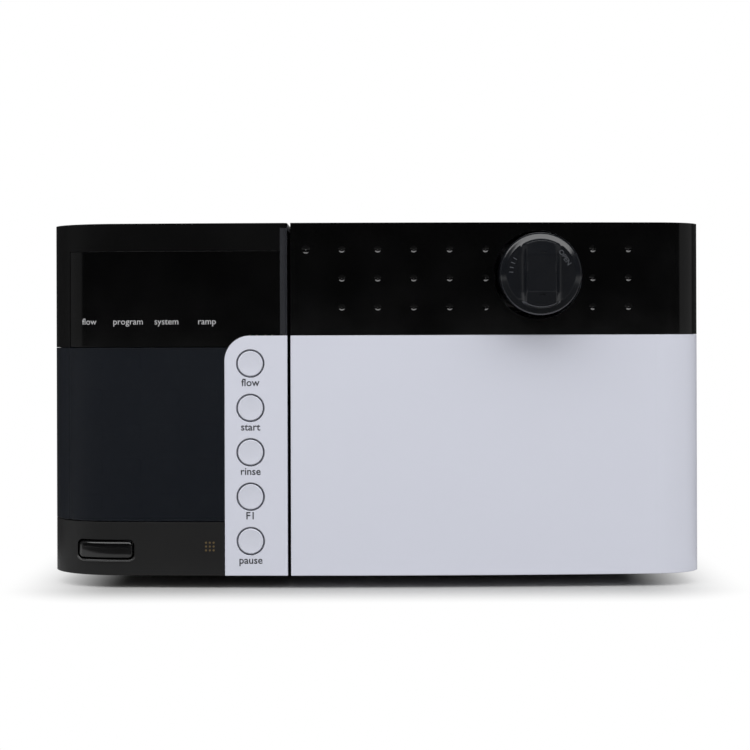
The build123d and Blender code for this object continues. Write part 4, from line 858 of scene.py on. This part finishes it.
def floor():
    """White floor that keeps the object's shadow near it and runs out to pure white."""
    mesh = bpy.data.meshes.new("floor")
    form = bmesh.new()
    bmesh.ops.create_grid(form, x_segments=8, y_segments=8, size=FLOOR_REACH)
    form.to_mesh(mesh)
    form.free()
    material = bpy.data.materials.new("floor_paper")
    material.use_nodes = True
    nodes = material.node_tree.nodes
    links = material.node_tree.links
    nodes.clear()
    _, direct = direct_rays(nodes, links)
    place = nodes.new("ShaderNodeTexCoord").outputs["Object"]
    # How far a place lies outside the rectangle that keeps the full shadow
    away = vector_step(nodes, links, "ABSOLUTE", place)
    past = vector_step(nodes, links, "SUBTRACT", away.outputs["Vector"])
    past.inputs[1].default_value = mm(HALF_W - SHADOW_INSET, -FRONT_Y, 0)
    beyond = vector_step(nodes, links, "MAXIMUM", past.outputs["Vector"])
    outside = vector_step(nodes, links, "LENGTH", beyond.outputs["Vector"])
    far = ranged(nodes, (0.0, SHADOW_REACH, 0.0, 1.0))
    far.interpolation_type = "SMOOTHSTEP"
    links.new(outside.outputs["Value"], far.inputs["Value"])
    tone = nodes.new("ShaderNodeMix")
    tone.data_type = "RGBA"
    for socket, grey in (("A", FLOOR_BOUNCE), ("B", FLOOR_TONE)):
        tone.inputs[socket].default_value = (grey, grey, grey, 1)
    links.new(direct, tone.inputs["Factor"])
    lit = nodes.new("ShaderNodeBsdfDiffuse")
    links.new(tone.outputs["Result"], lit.inputs["Color"])
    glow = nodes.new("ShaderNodeEmission")
    glow.inputs["Strength"].default_value = 1.0
    fade = nodes.new("ShaderNodeMath")
    fade.operation = "MULTIPLY"
    links.new(far.outputs["Result"], fade.inputs[0])
    links.new(direct, fade.inputs[1])
    whole = blend(nodes, links, fade.outputs["Value"], lit.outputs["BSDF"], glow.outputs["Emission"])
    links.new(whole, nodes.new("ShaderNodeOutputMaterial").inputs["Surface"])
    mesh.materials.append(material)
    add("floor", mesh)


def black_cards():
    """Black cards that lie and stand round the object, unseen, and keep what its shiny faces mirror dark."""
    low = 0.002
    front = [(-0.7, -1.3, low), (0.7, -1.3, low), (0.7, -0.225, low), (-0.7, -0.225, low)]
    cards = {"card_front": front}
    for name, side in (("card_left", -1), ("card_right", 1)):
        near = side * 0.235
        far = side * 1.2
        cards[name] = [(side * 0.17, -0.12, low), (far, -0.12, low), (far, 0.45, low), (near, 0.45, low)]
        cards[name] += [(far, 0.45, 0.7), (near, 0.45, 0.7)]
    for name, corners in cards.items():
        mesh = bpy.data.meshes.new(name)
        mesh.from_pydata(corners, [], [(0, 1, 2, 3), (3, 2, 4, 5)][:len(corners) // 2 - 1])
        mesh.materials.append(INK["card"].material)
        card = add(name, mesh)
        card.visible_camera = False
        card.visible_diffuse = False
        card.visible_shadow = False
        card.visible_transmission = False


def camera():
    """Level camera in front of the door, shifted so that the horizon lies on its row of the picture."""
    lens = bpy.data.cameras.new("camera")
    lens.sensor_width = SENSOR_WIDTH
    lens.lens = lens.sensor_width * CAMERA_AWAY * PX_PER_MM / PICTURE
    lens.shift_y = (HORIZON_ROW - PICTURE / 2) / PICTURE
    lens.clip_end = 20.0
    thing = add("camera", lens)
    turn = Matrix.Rotation(radians(CAMERA_ROLL), 4, "Y") @ Matrix.Rotation(pi / 2, 4, "X")
    thing.matrix_world = Matrix.Translation(mm(0, FRONT_Y - CAMERA_AWAY, CAMERA_Z)) @ turn
    bpy.context.scene.camera = thing


world()
floor()
for soft_box in LAMPS:
    lamp(*soft_box)
black_cards()
camera()
bpy.context.scene.view_settings.view_transform = "Standard"
